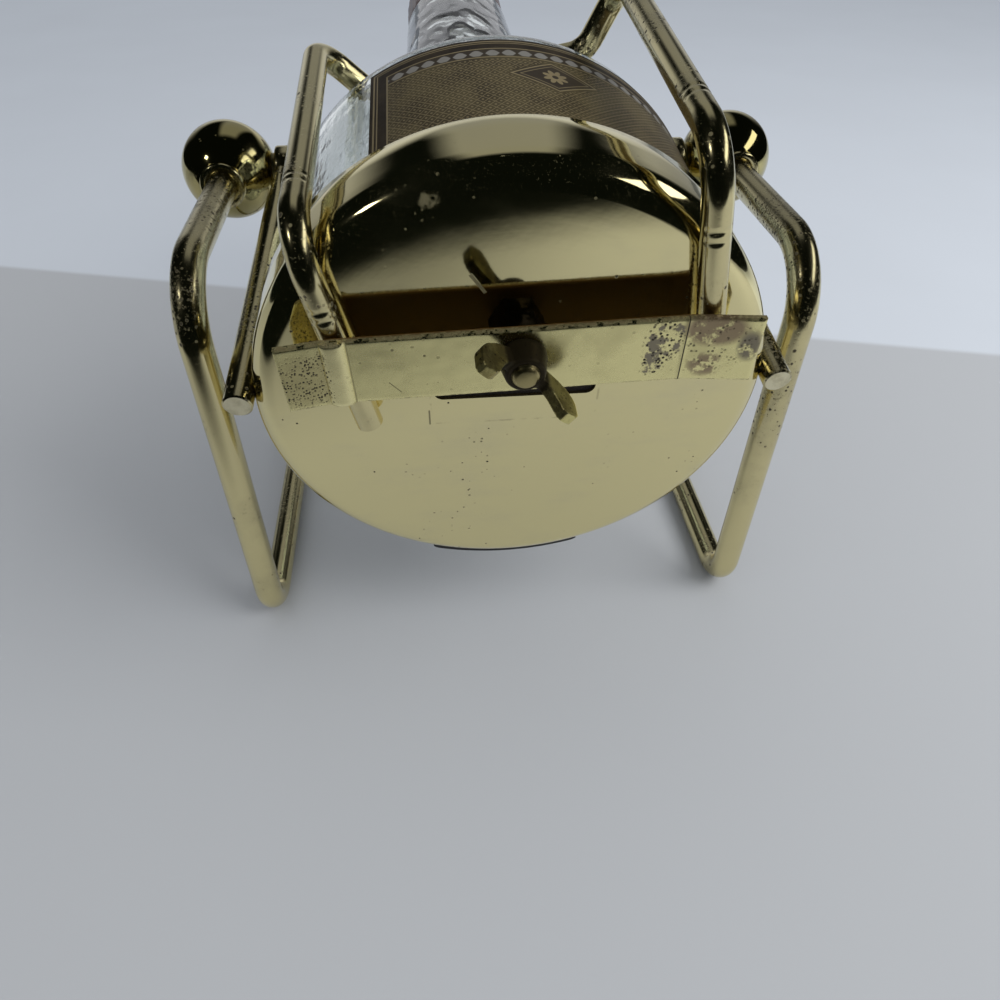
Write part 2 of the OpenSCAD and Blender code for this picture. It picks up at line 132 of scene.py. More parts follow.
class Finish:
    # one material and the nodes it is made of
    def __init__(self, name):
        self.mat = bpy.data.materials.new(name)
        self.mat.use_nodes = True
        self.tree = self.mat.node_tree
        self.shader = self.tree.nodes["Principled BSDF"]
        self.place = self.node("ShaderNodeTexCoord")["Object"]

    def node(self, kind, values=None, **settings):
        made = self.tree.nodes.new(kind)
        for key, v in settings.items():
            setattr(made, key, v)
        for key, v in (values or {}).items():
            self.feed(made.inputs[key], v)
        return {o.name: Val(self.tree, o) for o in made.outputs if o.enabled}

    def feed(self, socket, v):
        if isinstance(v, Val):
            self.tree.links.new(v.socket, socket)
        elif socket.type == "RGBA":
            socket.default_value = (*v, 1)
        else:
            socket.default_value = v

    def set(self, **values):
        for key, v in values.items():
            self.feed(self.shader.inputs[key.replace("_", " ")], v)

    def scaled(self, x, y, z, place=None):
        return self.node(
            "ShaderNodeVectorMath", {0: place or self.place, 1: (x, y, z)}, operation="MULTIPLY")["Vector"]

    def joined(self, x, y, z):
        return self.node("ShaderNodeCombineXYZ", {"X": x, "Y": y, "Z": z})["Vector"]

    def grain(self, scale, detail, rough, place=None):
        # noise per metre
        return self.node(
            "ShaderNodeTexNoise",
            {"Vector": place or self.place, "Scale": scale, "Detail": detail, "Roughness": rough})["Fac"]

    def dots(self, scale):
        # distance to scattered points, and a random value for each of them
        made = self.node("ShaderNodeTexVoronoi", {"Vector": self.place, "Scale": scale, "Randomness": 1.0})
        pick = self.node("ShaderNodeSeparateColor", {"Color": made["Color"]})["Red"]
        return made["Distance"], pick

    def axes(self, place=None):
        made = self.node("ShaderNodeSeparateXYZ", {"Vector": place or self.place})
        return made["X"], made["Y"], made["Z"]

    def spot(self):
        # place on the piece, in millimetres of its own frame
        return [a * 1000.0 for a in self.axes()]

    def mix(self, fac, a, b):
        # Mix has sockets for each kind of data: 0 is the factor, 6 and 7 are the colours
        return self.node("ShaderNodeMix", {0: fac, 6: a, 7: b}, data_type="RGBA")["Result"]

    def relief(self, height, distance, strength):
        made = self.node("ShaderNodeBump", {"Height": height, "Distance": distance, "Strength": strength})
        self.set(Normal=made["Normal"])


# mesh helpers: rings and outlines are in millimetres


def loose(name, data, at=None):
    obj = bpy.data.objects.new(name, data)
    scene.collection.objects.link(obj)
    if at is not None:
        obj.matrix_world = at
    return obj


def solid(name, verts, faces, sharpAngle=35, at=None):
    mesh = bpy.data.meshes.new(name)
    mesh.from_pydata([Vector(v) * mm for v in verts], [], faces)
    mesh.validate()
    mesh.update()
    mesh.shade_smooth()
    mesh.set_sharp_from_angle(angle=math.radians(sharpAngle))
    return loose(name, mesh, at)


def ringSolid(name, rings, sharpAngle=35, at=None, closed=False, capped=True):
    # skin over rings of equal count; closed joins the last ring to the first
    n = len(rings[0])
    verts = [p for ring in rings for p in ring]
    faces = []
    for i in range(len(rings) if closed else len(rings) - 1):
        j = (i + 1) % len(rings)
        for k in range(n):
            k2 = (k + 1) % n
            faces.append((i * n + k, i * n + k2, j * n + k2, j * n + k))
    if capped and not closed:
        faces.append(tuple(range(n - 1, -1, -1)))
        faces.append(tuple(range(len(verts) - n, len(verts))))
    return solid(name, verts, faces, sharpAngle, at)


def arcPoints(cy, cr, r, a0, a1, n):
    # lathe outline arc, (radius, height) pairs; angles start at the radius direction
    out = []
    for i in range(n + 1):
        a = math.radians(a0 + (a1 - a0) * i / n)
        out.append((cr + r * math.cos(a), cy + r * math.sin(a)))
    return out


def latheSolid(name, outline, around, sharpAngle=35, at=None, closed=False, swell=None):
    # turns (radius, height) pairs about Y; swell(angle, height) scales the radius
    rings = []
    for r, t in outline:
        ring = []
        for a in circle(around):
            wide = max(r, 0.004) * (swell(a, t) if swell else 1.0)
            ring.append((wide * math.cos(a), t, -wide * math.sin(a)))
        rings.append(ring)
    return ringSolid(name, rings, sharpAngle, at, closed)


def filletPath(points, radii, step=3.0, spacing=2.5):
    # points of a rod's centre line, with its corners turned at the given radii
    pts = [Vector(p) for p in points]
    out = [pts[0]]
    for i in range(1, len(pts) - 1):
        u = (pts[i] - pts[i - 1]).normalized()
        v = (pts[i + 1] - pts[i]).normalized()
        turn = u.angle(v)
        cut = radii[i] * math.tan(turn / 2)
        side = (v - u * u.dot(v)).normalized()
        centre = pts[i] - u * cut + side * radii[i]
        n = max(2, int(math.degrees(turn) / step))
        for k in range(n + 1):
            a = turn * k / n
            out.append(centre - side * radii[i] * math.cos(a) + u * radii[i] * math.sin(a))
    out.append(pts[-1])
    dense = [out[0]]
    for p in out[1:]:
        base = dense[-1]
        n = max(1, int((p - base).length / spacing))
        dense += [base.lerp(p, k / n) for k in range(1, n + 1)]
    return dense


def sweepRings(path, radius, chamfer, shape=None, around=40):
    # rings along a path; shape(distance, whole, direction) scales the radius there
    last = len(path) - 1
    tangents = [(path[min(last, i + 1)] - path[max(0, i - 1)]).normalized() for i in range(last + 1)]
    up = Vector((0, 0, 1)) if abs(tangents[0].z) < 0.9 else Vector((1, 0, 0))
    normal = (up - tangents[0] * up.dot(tangents[0])).normalized()
    rings = []
    run = 0.0
    total = sum((path[i + 1] - path[i]).length for i in range(last))
    for i, p in enumerate(path):
        t = tangents[i]
        normal = (normal - t * normal.dot(t)).normalized()
        across = t.cross(normal)
        if i:
            run += (p - path[i - 1]).length
        ring = []
        for a in circle(around):
            way = normal * math.cos(a) + across * math.sin(a)
            ring.append(p + way * radius * (shape(run, total, way) if shape else 1.0))
        rings.append(ring)
    for end, way in ((0, 1), (-1, -1)):
        p, t, full = path[end], tangents[end], rings[end]
        inner = [p + (q - p) * (1 - chamfer / radius) for q in full]
        eased = [q + t * way * chamfer * 0.8 for q in full]
        if end == 0:
            rings[:1] = [inner, eased]
        else:
            rings[-1:] = [eased, inner]
    return rings


def evaluated(obj):
    # replaces the mesh by what its modifiers make of it
    graph = bpy.context.evaluated_depsgraph_get()
    made = bpy.data.meshes.new_from_object(obj.evaluated_get(graph))
    obj.modifiers.clear()
    obj.data = made


def cut(obj, *cutters):
    # takes the cutters out of obj, which stands in the same frame as they do
    for c in cutters:
        mod = obj.modifiers.new("cut", "BOOLEAN")
        mod.operation = "DIFFERENCE"
        mod.solver = "EXACT"
        mod.object = c
    bpy.context.view_layer.update()
    evaluated(obj)
    for c in cutters:
        bpy.data.objects.remove(c)
    obj.data.shade_smooth()
    obj.data.set_sharp_from_angle(angle=math.radians(30))


def paint(obj, finish):
    obj.data.materials.clear()
    obj.data.materials.append(finish.mat)


def repaint(finish, *names):
    for name in names:
        paint(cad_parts[name], finishes[finish])


def piece(obj, body, finish, slot, *nodes):
    paint(obj, finishes[finish])
    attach(obj, body)
    if nodes:
        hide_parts(*nodes)


def sawnFaces(obj, chosen):
    # gives the sawn ends their own bare finish
    obj.data.materials.append(finishes["cut"].mat)
    for p in obj.data.polygons:
        p.material_index = 1 if chosen(p) else 0


# finishes: worn brass plate, dirt and stains are painted by place, in millimetres of each piece's own frame

brassTint = (0.84, 0.745, 0.40)
# near black for pits, and for the painted shade line at the strap ridge's foot
pitAndShadeTint = (0.022, 0.016, 0.010)


def pits(f, scale, size, share):
    # black corrosion pits: share is how many of the scattered points show
    gap, pick = f.dots(scale)
    chosen = pick.fade(share, share + 0.02)
    return gap.fade(size * 0.55, size) * chosen


def patch(u, v, cu, cv, ru, rv):
    # 1 in the middle of an oval patch, 0 outside it
    du = (u - cu) * (1.0 / ru)
    dv = (v - cv) * (1.0 / rv)
    return (du * du + dv * dv).fade(0.2, 1.0)


def line(u, v, a, b, wide):
    # a straight scratch from a to b
    long = math.hypot(b[0] - a[0], b[1] - a[1])
    c, s = (b[0] - a[0]) / long, (b[1] - a[1]) / long
    along = (u - a[0]) * c + (v - a[1]) * s
    across = ((v - a[1]) * c - (u - a[0]) * s).size()
    inside = (along * (1.0 / long) - 0.5).size()
    return across.fade(wide * 0.4, wide) * inside.fade(0.47, 0.5)


rodWear = {"rough": 0.15, "plate": (0.74, 0.65, 0.35), "dull": (0.42, 0.375, 0.225), "tooth": 0.30}


def rodFinish(name, worn):
    # worn(x, y, z) says how far the plating has gone at a place
    f = Finish(name)
    x, y, z = f.spot()
    cloud = f.grain(48, 5, 0.6)
    mottle = f.grain(1150, 6, 0.75)
    fine = f.grain(1300, 3, 0.5)
    where = worn(x, y, z)
    grime = (mottle * 0.75 + cloud * 0.35 + 0.04 * where).ramp(0.63, 0.69)
    specks = (pits(f, 640, 0.33, 0.45) * (cloud + 0.25 * where).ramp(0.54, 0.64)).high(pits(f, 260, 0.17, 0.16))
    dirt = (grime * (0.25 + 0.75 * where)).high(specks).clip()
    dull = (cloud.ramp(0.42, 0.72) * 0.45 + 0.65 * where).clip()
    plate = f.mix(dull, rodWear["plate"], rodWear["dull"])
    f.set(
        Base_Color=f.mix(dirt * 0.92, plate, pitAndShadeTint),
        Metallic=1.0 - 0.7 * dirt,
        Roughness=(rodWear["rough"] + 0.12 * dull + 0.06 * (fine - 0.5) + 0.35 * dirt).clip())
    f.relief(fine * 0.2 + cloud * 0.4 - dirt * 0.8, 0.00009, rodWear["tooth"])
    return f


def standWear(x, y, z):
    # the arms behind the balls are the worst, then the feet
    arms = z.ramp(104, 121) * (y + 60.0).size().fade(38, 56)
    feet = z.fade(4, 14) * 0.35
    posts = z.ramp(50, 85) * z.fade(96, 106) * 0.28
    return (arms * 0.85 + feet + posts).clip()


def armWear(x, y, z):
    return 0.30 + 0.25 * y.fade(4, 30)


def bailWear(x, y, z):
    return 0.12 + 0.22 * (z - 20.0).ramp(0, 18)


sheetWear = {"rough": 0.07, "slotMiddle": 3.0, "slotHalf": (20.6, 6.6)}


def sheetFinish():
    # the cup: mirror plate with wiping haze, faint buffing rings, a few pits and an old clamp mark
    f = Finish("cupPlate")
    x, y, z = f.spot()
    r = (x * x + z * z) ** 0.5
    face = y.fade(0.2, 0.8)
    turn = x.calc("ARCTAN2", x, z)
    rings = f.grain(1.0, 4, 0.6, f.joined(r * 1.6, turn * 2.5, y * 0.4))
    cloud = f.grain(34, 5, 0.6)
    smear = f.grain(1.0, 4, 0.6, f.scaled(42, 42, 130))
    fine = f.grain(1500, 3, 0.5)
    haze = (cloud * 0.5 + smear * 0.5).ramp(0.48, 0.70)
    corner = r.ramp(53, 58) * y.fade(5, 8)
    corner = corner * (z.ramp(8, 26) * 0.8 + 0.12)
    grit = (f.grain(1500, 5, 0.75) + 0.05 * corner).ramp(0.64, 0.72) * corner * 0.12
    specks = pits(f, 105, 0.055, 0.24).high(pits(f, 300, 0.11, 0.14))
    specks = specks.high(pits(f, 600, 0.26, 0.3) * cloud.ramp(0.56, 0.66))
    lip = (y - 19.3).size().fade(0.1, 0.5) * 0.5
    halfW, halfH = sheetWear["slotHalf"]
    side = (x.size() - halfW).high((z - sheetWear["slotMiddle"]).size() - halfH)
    mark = side.size().fade(0.12, 0.40) * f.grain(150, 3, 0.6).ramp(0.50, 0.62) * face
    scratch = line(x, z, (-10.7, 39.2), (-7.4, 34.4), 0.5).high(line(x, z, (-21, 1), (-21, -4), 0.3))
    scratch = scratch * face
    paste = patch(x, z, -18.5, 55.5, 2.6, 1.8) * f.grain(500, 4, 0.7).ramp(0.40, 0.60) * 0.35
    dirt = (grit * 0.8).high(specks).high(mark * 0.25).high(scratch * 0.7).clip()
    plate = f.mix(haze * 0.35, brassTint, (0.70, 0.63, 0.40))
    plate = f.mix(lip, plate, (0.40, 0.33, 0.16))
    plate = f.mix(paste, plate, (0.17, 0.145, 0.10))
    f.set(
        Base_Color=f.mix(dirt, plate, (0.05, 0.045, 0.022)),
        Metallic=(1.0 - 0.6 * dirt - 0.6 * paste - 0.005 * haze).clip(),
        Roughness=(sheetWear["rough"] + 0.07 * haze + 0.04 * (rings - 0.5) + 0.3 * dirt + 0.3 * paste).clip())
    f.relief(cloud * 0.9 + rings * 0.03 + fine * 0.006 - dirt * 0.2 + paste * 0.4, 0.0002, 0.2)
    return f


def ballFinish():
    f = Finish("ballPlate")
    cloud = f.grain(90, 5, 0.65)
    fine = f.grain(1400, 3, 0.5)
    specks = pits(f, 420, 0.17, 0.14)
    haze = cloud.ramp(0.48, 0.70)
    plate = f.mix(haze, (0.52, 0.45, 0.20), (0.34, 0.30, 0.15))
    f.set(
        Base_Color=f.mix(specks, plate, pitAndShadeTint), Metallic=1.0 - 0.6 * specks,
        Roughness=(0.07 + 0.10 * haze + 0.3 * specks).clip())
    f.relief(cloud * 0.8 + fine * 0.03 - specks * 0.4, 0.0001, 0.2)
    return f


# 'inside' is the inner face's dark brown: painted shade of the gap behind the strap, with some tarnish
strapWear = {
    "rough": 0.27, "stain": (0.17, 0.145, 0.115), "rust": (0.26, 0.18, 0.12),
    "inside": (0.135, 0.078, 0.022), "plate": (0.90, 0.815, 0.40),
    "dull": (0.66, 0.59, 0.29), "ridgeHighlight": (1.0, 0.90, 0.48),
    "tab": (0.42, 0.345, 0.17), "above": 1.7,
}


def strapFinish():
    f = Finish("strapPlate")
    x, y, z = f.spot()
    z = z - strapWear["above"]
    cloud = f.grain(70, 5, 0.6)
    blotch = f.grain(330, 5, 0.65)
    fine = f.grain(1600, 3, 0.55)
    # 1 on the outer face; the inner face, turned to the cup, gets the painted shade of the gap behind the strap
    outside = y.fade(-7.9, -7.4)
    leftTab = patch(x, z, -47.5, -4.0, 7.5, 9).high(patch(x, z, -43.0, -4, 2.0, 10))
    rightBlots = patch(x, z, 31.0, 0.0, 5.4, 8.0).high(patch(x, z, 29.0, -6, 3.6, 4.5))
    rightTab = patch(x, z, 43.5, -1, 10, 9.5)
    middle = patch(x, z, -27, -2.5, 11, 7)
    tiny = pits(f, 1700, 0.50, 0.68) * (f.grain(380, 5, 0.75) + 0.10 * leftTab).ramp(0.48, 0.58)
    small = pits(f, 1150, 0.46, 0.75) * (f.grain(300, 5, 0.75) + 0.10 * rightBlots).ramp(0.46, 0.56)
    few = pits(f, 420, 0.20, 0.40)
    black = (tiny * (leftTab * 1.4).clip()).high(small * (rightBlots * 1.3 + rightTab * 0.8).clip())
    black = black.high(few * (middle * 0.8 + 0.2).clip())
    stain = (blotch + 0.15 * rightBlots).ramp(0.62, 0.70) * rightBlots.ramp(0.0, 0.5)
    greyEnd = patch(x, z, 49.8, -1.6, 3.2, 5.0) * blotch.ramp(0.36, 0.46)
    rust = (patch(x, z, 41.8, 2.6, 8.5, 5.2) * 1.2).clip() * (blotch + 0.08).ramp(0.45, 0.58)
    rust = rust.high(patch(x, z, 41, -7, 5, 4) * blotch.ramp(0.46, 0.55))
    ridge = (x + 40.0).size().fade(1.4, 2.8)
    # dark lines are painted along the crease and, as painted shade, along the ridge's foot
    crease = (x - 35.75).size().fade(0.06, 0.26)
    foot = (x + 37.2).size().fade(0.05, 0.28) * 0.5
    scratch = line(x, z, (-29.5, -6.2), (-27.0, -9.4), 0.16) * 0.6
    topEdge = z.ramp(4.9, 5.5) * f.grain(800, 4, 0.7).ramp(0.40, 0.56)
    lowEdge = z.fade(-11.5, -11.0) * f.grain(600, 4, 0.7).ramp(0.50, 0.60)
    lines = crease.high(foot).high(scratch).high(lowEdge * 0.6)
    plate = f.mix(cloud.ramp(0.45, 0.7) * 0.5, strapWear["plate"], strapWear["dull"])
    plate = f.mix(leftTab * 0.45, plate, strapWear["tab"])
    # painted highlight: the ridge's crown is painted a brighter yellow
    plate = f.mix(ridge * 0.8, plate, strapWear["ridgeHighlight"])
    plate = f.mix(rust * 0.85, plate, strapWear["rust"])
    plate = f.mix((stain.high(greyEnd)) * 0.9, plate, strapWear["stain"])
    plate = f.mix((black.high(lines) * outside).clip(), plate, pitAndShadeTint)
    plate = f.mix(topEdge * 0.8, plate, (0.10, 0.065, 0.03))
    # painted shade: the inner face takes the dark brown of the shaded gap behind the strap, with some tarnish
    plate = f.mix(1.0 - outside, plate, strapWear["inside"])
    spoiledAndShaded = (black.high(lines).high(stain).high(greyEnd).high(rust * 0.6).high(topEdge * 0.7)).clip()
    spoiledAndShaded = (spoiledAndShaded * outside).high(1.0 - outside)
    f.set(
        Base_Color=plate, Metallic=(1.0 - 0.55 * spoiledAndShaded).clip(),
        Roughness=(strapWear["rough"] + 0.28 * spoiledAndShaded + 0.08 * (cloud - 0.5) + 0.05 * (fine - 0.5)).clip())
    f.relief(fine * 0.05 + cloud * 0.5 - black * 0.9 + stain * 0.25 + rust * 0.2 - lines * 0.8, 0.00014, 0.45)
    return f


def nutFinish():
    # cast wing nut: grimy hub, yellow patina where fingers rub the wings, and painted shade on the faces turned
    # to the strap
    f = Finish("nutCasting")
    x, y, z = f.spot()
    r = (x * x + z * z) ** 0.5
    cloud = f.grain(190, 5, 0.65)
    cast = f.grain(900, 4, 0.6)
    hub = (r + (cloud - 0.5) * 4.0).fade(5.6, 7.6)
    rubbed = (cloud.ramp(0.40, 0.62)) * (1.0 - hub)
    metal = f.mix(rubbed, (0.36, 0.30, 0.12), (0.74, 0.66, 0.27))
    # painted shade: the faces turned to the strap (normal along +Y) are painted near black
    facing = f.axes(f.node("ShaderNodeTexCoord")["Normal"])[1]
    under = facing.ramp(0.1, 0.6) * 0.9
    metal = f.mix((hub * 0.95).high(under), metal, (0.020, 0.014, 0.007))
    f.set(
        Base_Color=f.mix(pits(f, 900, 0.30, 0.25) * 0.8, metal, pitAndShadeTint),
        Metallic=0.95 - 0.15 * hub, Roughness=(0.30 + 0.20 * hub + 0.18 * (cast - 0.5)).clip())
    f.relief(cast * 0.5 + cloud * 0.7, 0.00025, 0.45)
    return f


def steelFinish(name, clean, rusty):
    f = Finish(name)
    cloud = f.grain(170, 5, 0.65)
    cast = f.grain(1500, 3, 0.55)
    rust = cloud.ramp(0.52, 0.70)
    f.set(
        Base_Color=f.mix(rust * 0.8, clean, rusty),
        Metallic=1.0 - 0.4 * rust, Roughness=(0.36 + 0.25 * rust + 0.1 * (cast - 0.5)).clip())
    f.relief(cast * 0.4 + cloud * 0.5, 0.00012, 0.4)
    return f


def cutFinish():
    # sawn rod ends, bare and pale
    f = Finish("sawnBrass")
    saw = f.grain(1.0, 4, 0.6, f.scaled(2600, 2600, 500))
    cloud = f.grain(300, 4, 0.6)
    f.set(
        Base_Color=f.mix(cloud.ramp(0.4, 0.7), (0.80, 0.74, 0.52), (0.62, 0.56, 0.36)),
        Metallic=0.75 + 0.2 * cloud, Roughness=(0.45 + 0.15 * (saw - 0.5)).clip())
    f.relief(saw, 0.0001, 0.5)
    return f


def plainFinish(name, grain, dark, pale, rough, depth, strength):
    f = Finish(name)
    fibre = f.grain(*grain)
    f.set(Base_Color=f.mix(fibre, dark, pale), Roughness=rough)
    f.relief(fibre, depth, strength)
    return f


def rubberFinish():
    f = Finish("blackRubber")
    bloom = f.grain(240, 5, 0.6)
    f.set(Base_Color=f.mix(bloom, (0.010, 0.010, 0.010), (0.030, 0.029, 0.028)), Roughness=0.6 + 0.25 * bloom)
    f.relief(f.grain(3000, 2, 0.5), 0.0001, 0.5)
    return f


def glassFinish():
    # clear bottle glass, wavy on the body and wrinkled on the neck
    f = Finish("bottleGlass")
    x, y, z = f.spot()
    neckward = y.ramp(84, 104)
    wave = f.grain(60, 3, 0.5)
    streak = f.grain(1.0, 4, 0.6, f.scaled(90, 26, 90))
    turn = x.calc("ARCTAN2", x, z)
    folded = f.joined(turn * 1.9 + y * 0.02, y * 0.045, 0.0)
    crease = 1.0 - ((f.grain(1.0, 1, 0.4, folded) - 0.5).size() * 6.0).clip()
    clear = f.mix(streak.ramp(0.40, 0.62), (0.70, 0.735, 0.715), (0.90, 0.93, 0.92))
    f.set(
        Base_Color=f.mix(neckward, clear, f.mix(crease, (0.76, 0.795, 0.775), (0.62, 0.66, 0.64))),
        Roughness=0.012 + 0.06 * neckward * crease, IOR=1.5, Transmission_Weight=1.0)
    f.relief(wave * 0.6 + streak * 0.7 * (1.0 - neckward) + crease * neckward * 2.0, 0.0008, 0.4)
    return f


labelPrint = {
    "round": 2.12,  # width over height
    "gold": (0.36, 0.285, 0.14), "oldGold": (0.20, 0.16, 0.09),
    "silver": (0.165, 0.158, 0.140),
    "medal": 0.60,  # height of the medallion's middle
    "beads": 34.0, "lattice": 52.0,
}


def labelFinish():
    # a wordless label: gilt frames, a beaded band, a medallion and a lattice, on dark brown
    f = Finish("labelPrint")
    uv = f.node("ShaderNodeTexCoord")["UV"]
    # u runs round the bottle, v along it, both 0 to 1 on the paper
    u, v = f.axes(uv)[:2]
    wide = labelPrint["round"]
    du = (u - 0.5) * wide
    dv = v - labelPrint["medal"]
    edge = (wide / 2 - du.size()).low(0.5 - (v - 0.5).size())

    def stripe(value, a, b):
        return value.ramp(a - 0.003, a + 0.003) * value.fade(b - 0.003, b + 0.003)

    frames = stripe(edge, 0.022, 0.032).high(stripe(edge, 0.046, 0.052)).high(stripe(edge, 0.110, 0.118))
    field = edge.ramp(0.118, 0.124)
    # a straight band of beads along the upper edge
    band = stripe(v, 0.800, 0.882) * field
    beads = ((du * labelPrint["beads"]).wave().size() - (v - 0.830).size() * 22.0).ramp(0.12, 0.24) * band
    bandLine = stripe(v, 0.782, 0.790) * field
    # a lozenge with a rosette in the middle
    lozenge = du.size() * 0.62 + dv.size()
    medal = lozenge.fade(0.140, 0.144)
    medalLine = stripe(lozenge, 0.146, 0.156).high(stripe(lozenge, 0.118, 0.123))
    reach = (du * du + dv * dv) ** 0.5
    petal = (du.calc("ARCTAN2", dv, du) * 4.0).wave().size()
    rosette = (reach - 0.035 - petal * 0.035).fade(0.0, 0.006) * reach.ramp(0.016, 0.021)
    # the rest is a fine lattice with a dot in each cell
    rising = ((du + v) * labelPrint["lattice"]).wave().size()
    falling = ((du - v) * labelPrint["lattice"]).wave().size()
    cells = rising.low(falling).fade(0.10, 0.22).high((rising * falling).ramp(0.84, 0.93))
    cells = cells * field * v.fade(0.760, 0.766) * lozenge.ramp(0.170, 0.176)
    gilt = frames.high(bandLine).high(medalLine).high(rosette).high(cells * 0.6)
    paper = f.grain(900, 5, 0.6)
    age = f.grain(1.0, 5, 0.6, f.scaled(9, 4, 1, uv))
    ground = f.mix(age.ramp(0.3, 0.75), (0.014, 0.009, 0.004), (0.036, 0.025, 0.011))
    ground = f.mix(field * (0.35 + 0.6 * age.ramp(0.38, 0.6)), ground, (0.070, 0.055, 0.023))
    ground = f.mix(band.high(medal) * 0.85, ground, (0.030, 0.022, 0.014))
    ground = f.mix(beads, ground, labelPrint["silver"])
    printed = f.mix(gilt, ground, f.mix(age, labelPrint["gold"], labelPrint["oldGold"]))
    printed = f.mix(paper.ramp(0.55, 0.8) * 0.3, printed, (0.10, 0.085, 0.06))
    f.set(
        Base_Color=printed, Metallic=0.5 * gilt,
        Roughness=(0.40 + 0.22 * paper - 0.1 * gilt).clip(), Specular_IOR_Level=0.15)
    f.relief(paper * 0.4 + gilt * 0.5, 0.00005, 0.6)
    return f


def capFinish():
    f = Finish("capLacquer")
    wear = f.grain(160, 5, 0.6).ramp(0.60, 0.75)
    fine = f.grain(1500, 3, 0.5)
    f.set(
        Base_Color=f.mix(wear, (0.075, 0.018, 0.012), (0.13, 0.05, 0.03)),
        Metallic=0.35 + 0.3 * wear, Roughness=0.30 + 0.2 * fine, Coat_Weight=0.3)
    f.relief(fine, 0.00005, 0.4)
    return f


finishes = {
    "stand": rodFinish("standPlate", standWear),
    "arm": rodFinish("armPlate", armWear),
    "bail": rodFinish("bailPlate", bailWear),
    "sheet": sheetFinish(),
    "ball": ballFinish(),
    "strap": strapFinish(),
    "nut": nutFinish(),
    "steel": steelFinish("pinSteel", (0.42, 0.355, 0.165), (0.14, 0.09, 0.04)),
    # the lock nut is painted near black: painted shade of the gap behind the strap
    "lock": steelFinish("shadedLockSteel", (0.060, 0.046, 0.024), (0.030, 0.020, 0.010)),
    "cut": cutFinish(),
    "felt": plainFinish(
        "darkFelt", (2600, 6, 0.7), (0.012, 0.009, 0.007), (0.05, 0.04, 0.032), 0.95, 0.0004, 0.8),
    "rubber": rubberFinish(),
    "glass": glassFinish(),
    "label": labelFinish(),
    "cap": capFinish(),
    "board": plainFinish(
        "sealBoard", (900, 6, 0.65), (0.62, 0.56, 0.44), (0.80, 0.76, 0.66), 0.8, 0.00015, 0.5),
}
print("stage: finishes", len(finishes))


# stand

stand = {
    "rodRadius": 4.2, "halfWidth": 78.0, "armLength": 75.5, "runnerLength": 150.0,
    "topBend": 18.0, "footBend": 11.0, "frontBend": 18.0,
}


def buildStand():
    s = stand
    w, back, h, r = s["halfWidth"], -s["armLength"], cradle["pivotHeight"], s["rodRadius"]
    front = s["runnerLength"] - s["armLength"]
    tip = ball["socket"] - ball["radius"]
    path = [(-w, tip, h), (-w, back, h), (-w, back, r), (-w, front, r),
            (w, front, r), (w, back, r), (w, back, h), (w, tip, h)]
    bends = [0, s["topBend"], s["footBend"], s["frontBend"]]
    rings = sweepRings(filletPath(path, bends + bends[::-1]), r, 0.5)
    obj = ringSolid("standRod", rings)
    piece(obj, "stand", "stand", "brass_rod", "stand_frame")


ball = {
    "radius": 14.0,
    "flat": 13.2,  # from the ball's middle to the face at the pivot
    "socket": 10.0,  # how deep the arm goes in
    "tiers": 72, "around": 96,
    "pole": 0.003,  # radius of the first and last ring
    "collarRadius": 6.5, "collarLength": 2.4,
}


def buildBalls():
    b = ball
    w, h, rod = stand["halfWidth"], cradle["pivotHeight"], stand["rodRadius"]
    for side, tag in sides:
        rings = []
        for i in range(b["tiers"] + 1):
            a = math.pi * i / b["tiers"]
            x, r = -math.cos(a) * b["radius"], max(math.sin(a) * b["radius"], b["pole"])
            x = max(x, -b["flat"]) if side > 0 else min(x, b["flat"])
            rings.append([(x + side * w, r * math.cos(k), h + r * math.sin(k)) for k in circle(b["around"])])
        name = "ball" + tag.title()
        piece(ringSolid(name, rings, 40), "stand", "ball", "brass_ball", "ball_" + tag)

        # the collar sits where its rim meets the ball
        rim, tall = b["collarRadius"], b["collarLength"]
        seat = math.sqrt(b["radius"] ** 2 - (rim + 0.1) ** 2) + 0.02
        outline = [(rod + 0.03, 0), (rim - 0.5, 0), (rim - 0.15, 0.15), (rim, 0.5), (rim, tall - 0.7),
                   (rim - 0.2, tall - 0.2), (rim - 0.7, tall), (rod + 0.5, tall), (rod + 0.03, tall - 0.3)]
        name = "collar" + tag.title()
        place = shift(side * w, -seat, h) @ spin(180, "Z")
        collar = latheSolid(name, outline, b["around"], 50, place, closed=True)
        piece(collar, "stand", "stand", "brass_rod", "ball_collar_" + tag)
    repaint("steel", "pivot_pin_left", "pivot_washer_left", "pivot_pin_right", "pivot_washer_right")


buildStand()
buildBalls()
print("stage: stand")


# cup, felt, pad and side arms

cup = {
    "radius": 63.0, "wall": 1.0, "depth": 19.5, "corner": 6.0, "slotWidth": 39.4,
    "slotHeight": 7.0, "slotAbove": 4.3, "slotEnd": 2.4, "boltAbove": 23.8,
    "boltHole": 3.475,
    "faceStep": 5.7,  # between the rings of the flat face
}


def slotCutter():
    c = cup
    w, h, r = c["slotWidth"] / 2, c["slotHeight"] / 2, c["slotEnd"]
    mid = c["slotAbove"] + h
    ring = []
    for cx, cz, a0 in ((w - r, h - r, 0), (r - w, h - r, 90), (r - w, r - h, 180), (w - r, r - h, 270)):
        for k in range(9):
            a = math.radians(a0 + 90 * k / 8)
            ring.append((cx + r * math.cos(a), mid + cz + r * math.sin(a)))
    rings = [[(x, t, z) for x, z in ring] for t in (3.0, -3.0)]
    return ringSolid("slotCutter", rings)


def rodCutter(radius, z, t0, t1):
    rings = [[(radius * math.cos(a), t, z + radius * math.sin(a)) for a in circle(48)] for t in (t1, t0)]
    return ringSolid("rodCutter", rings)


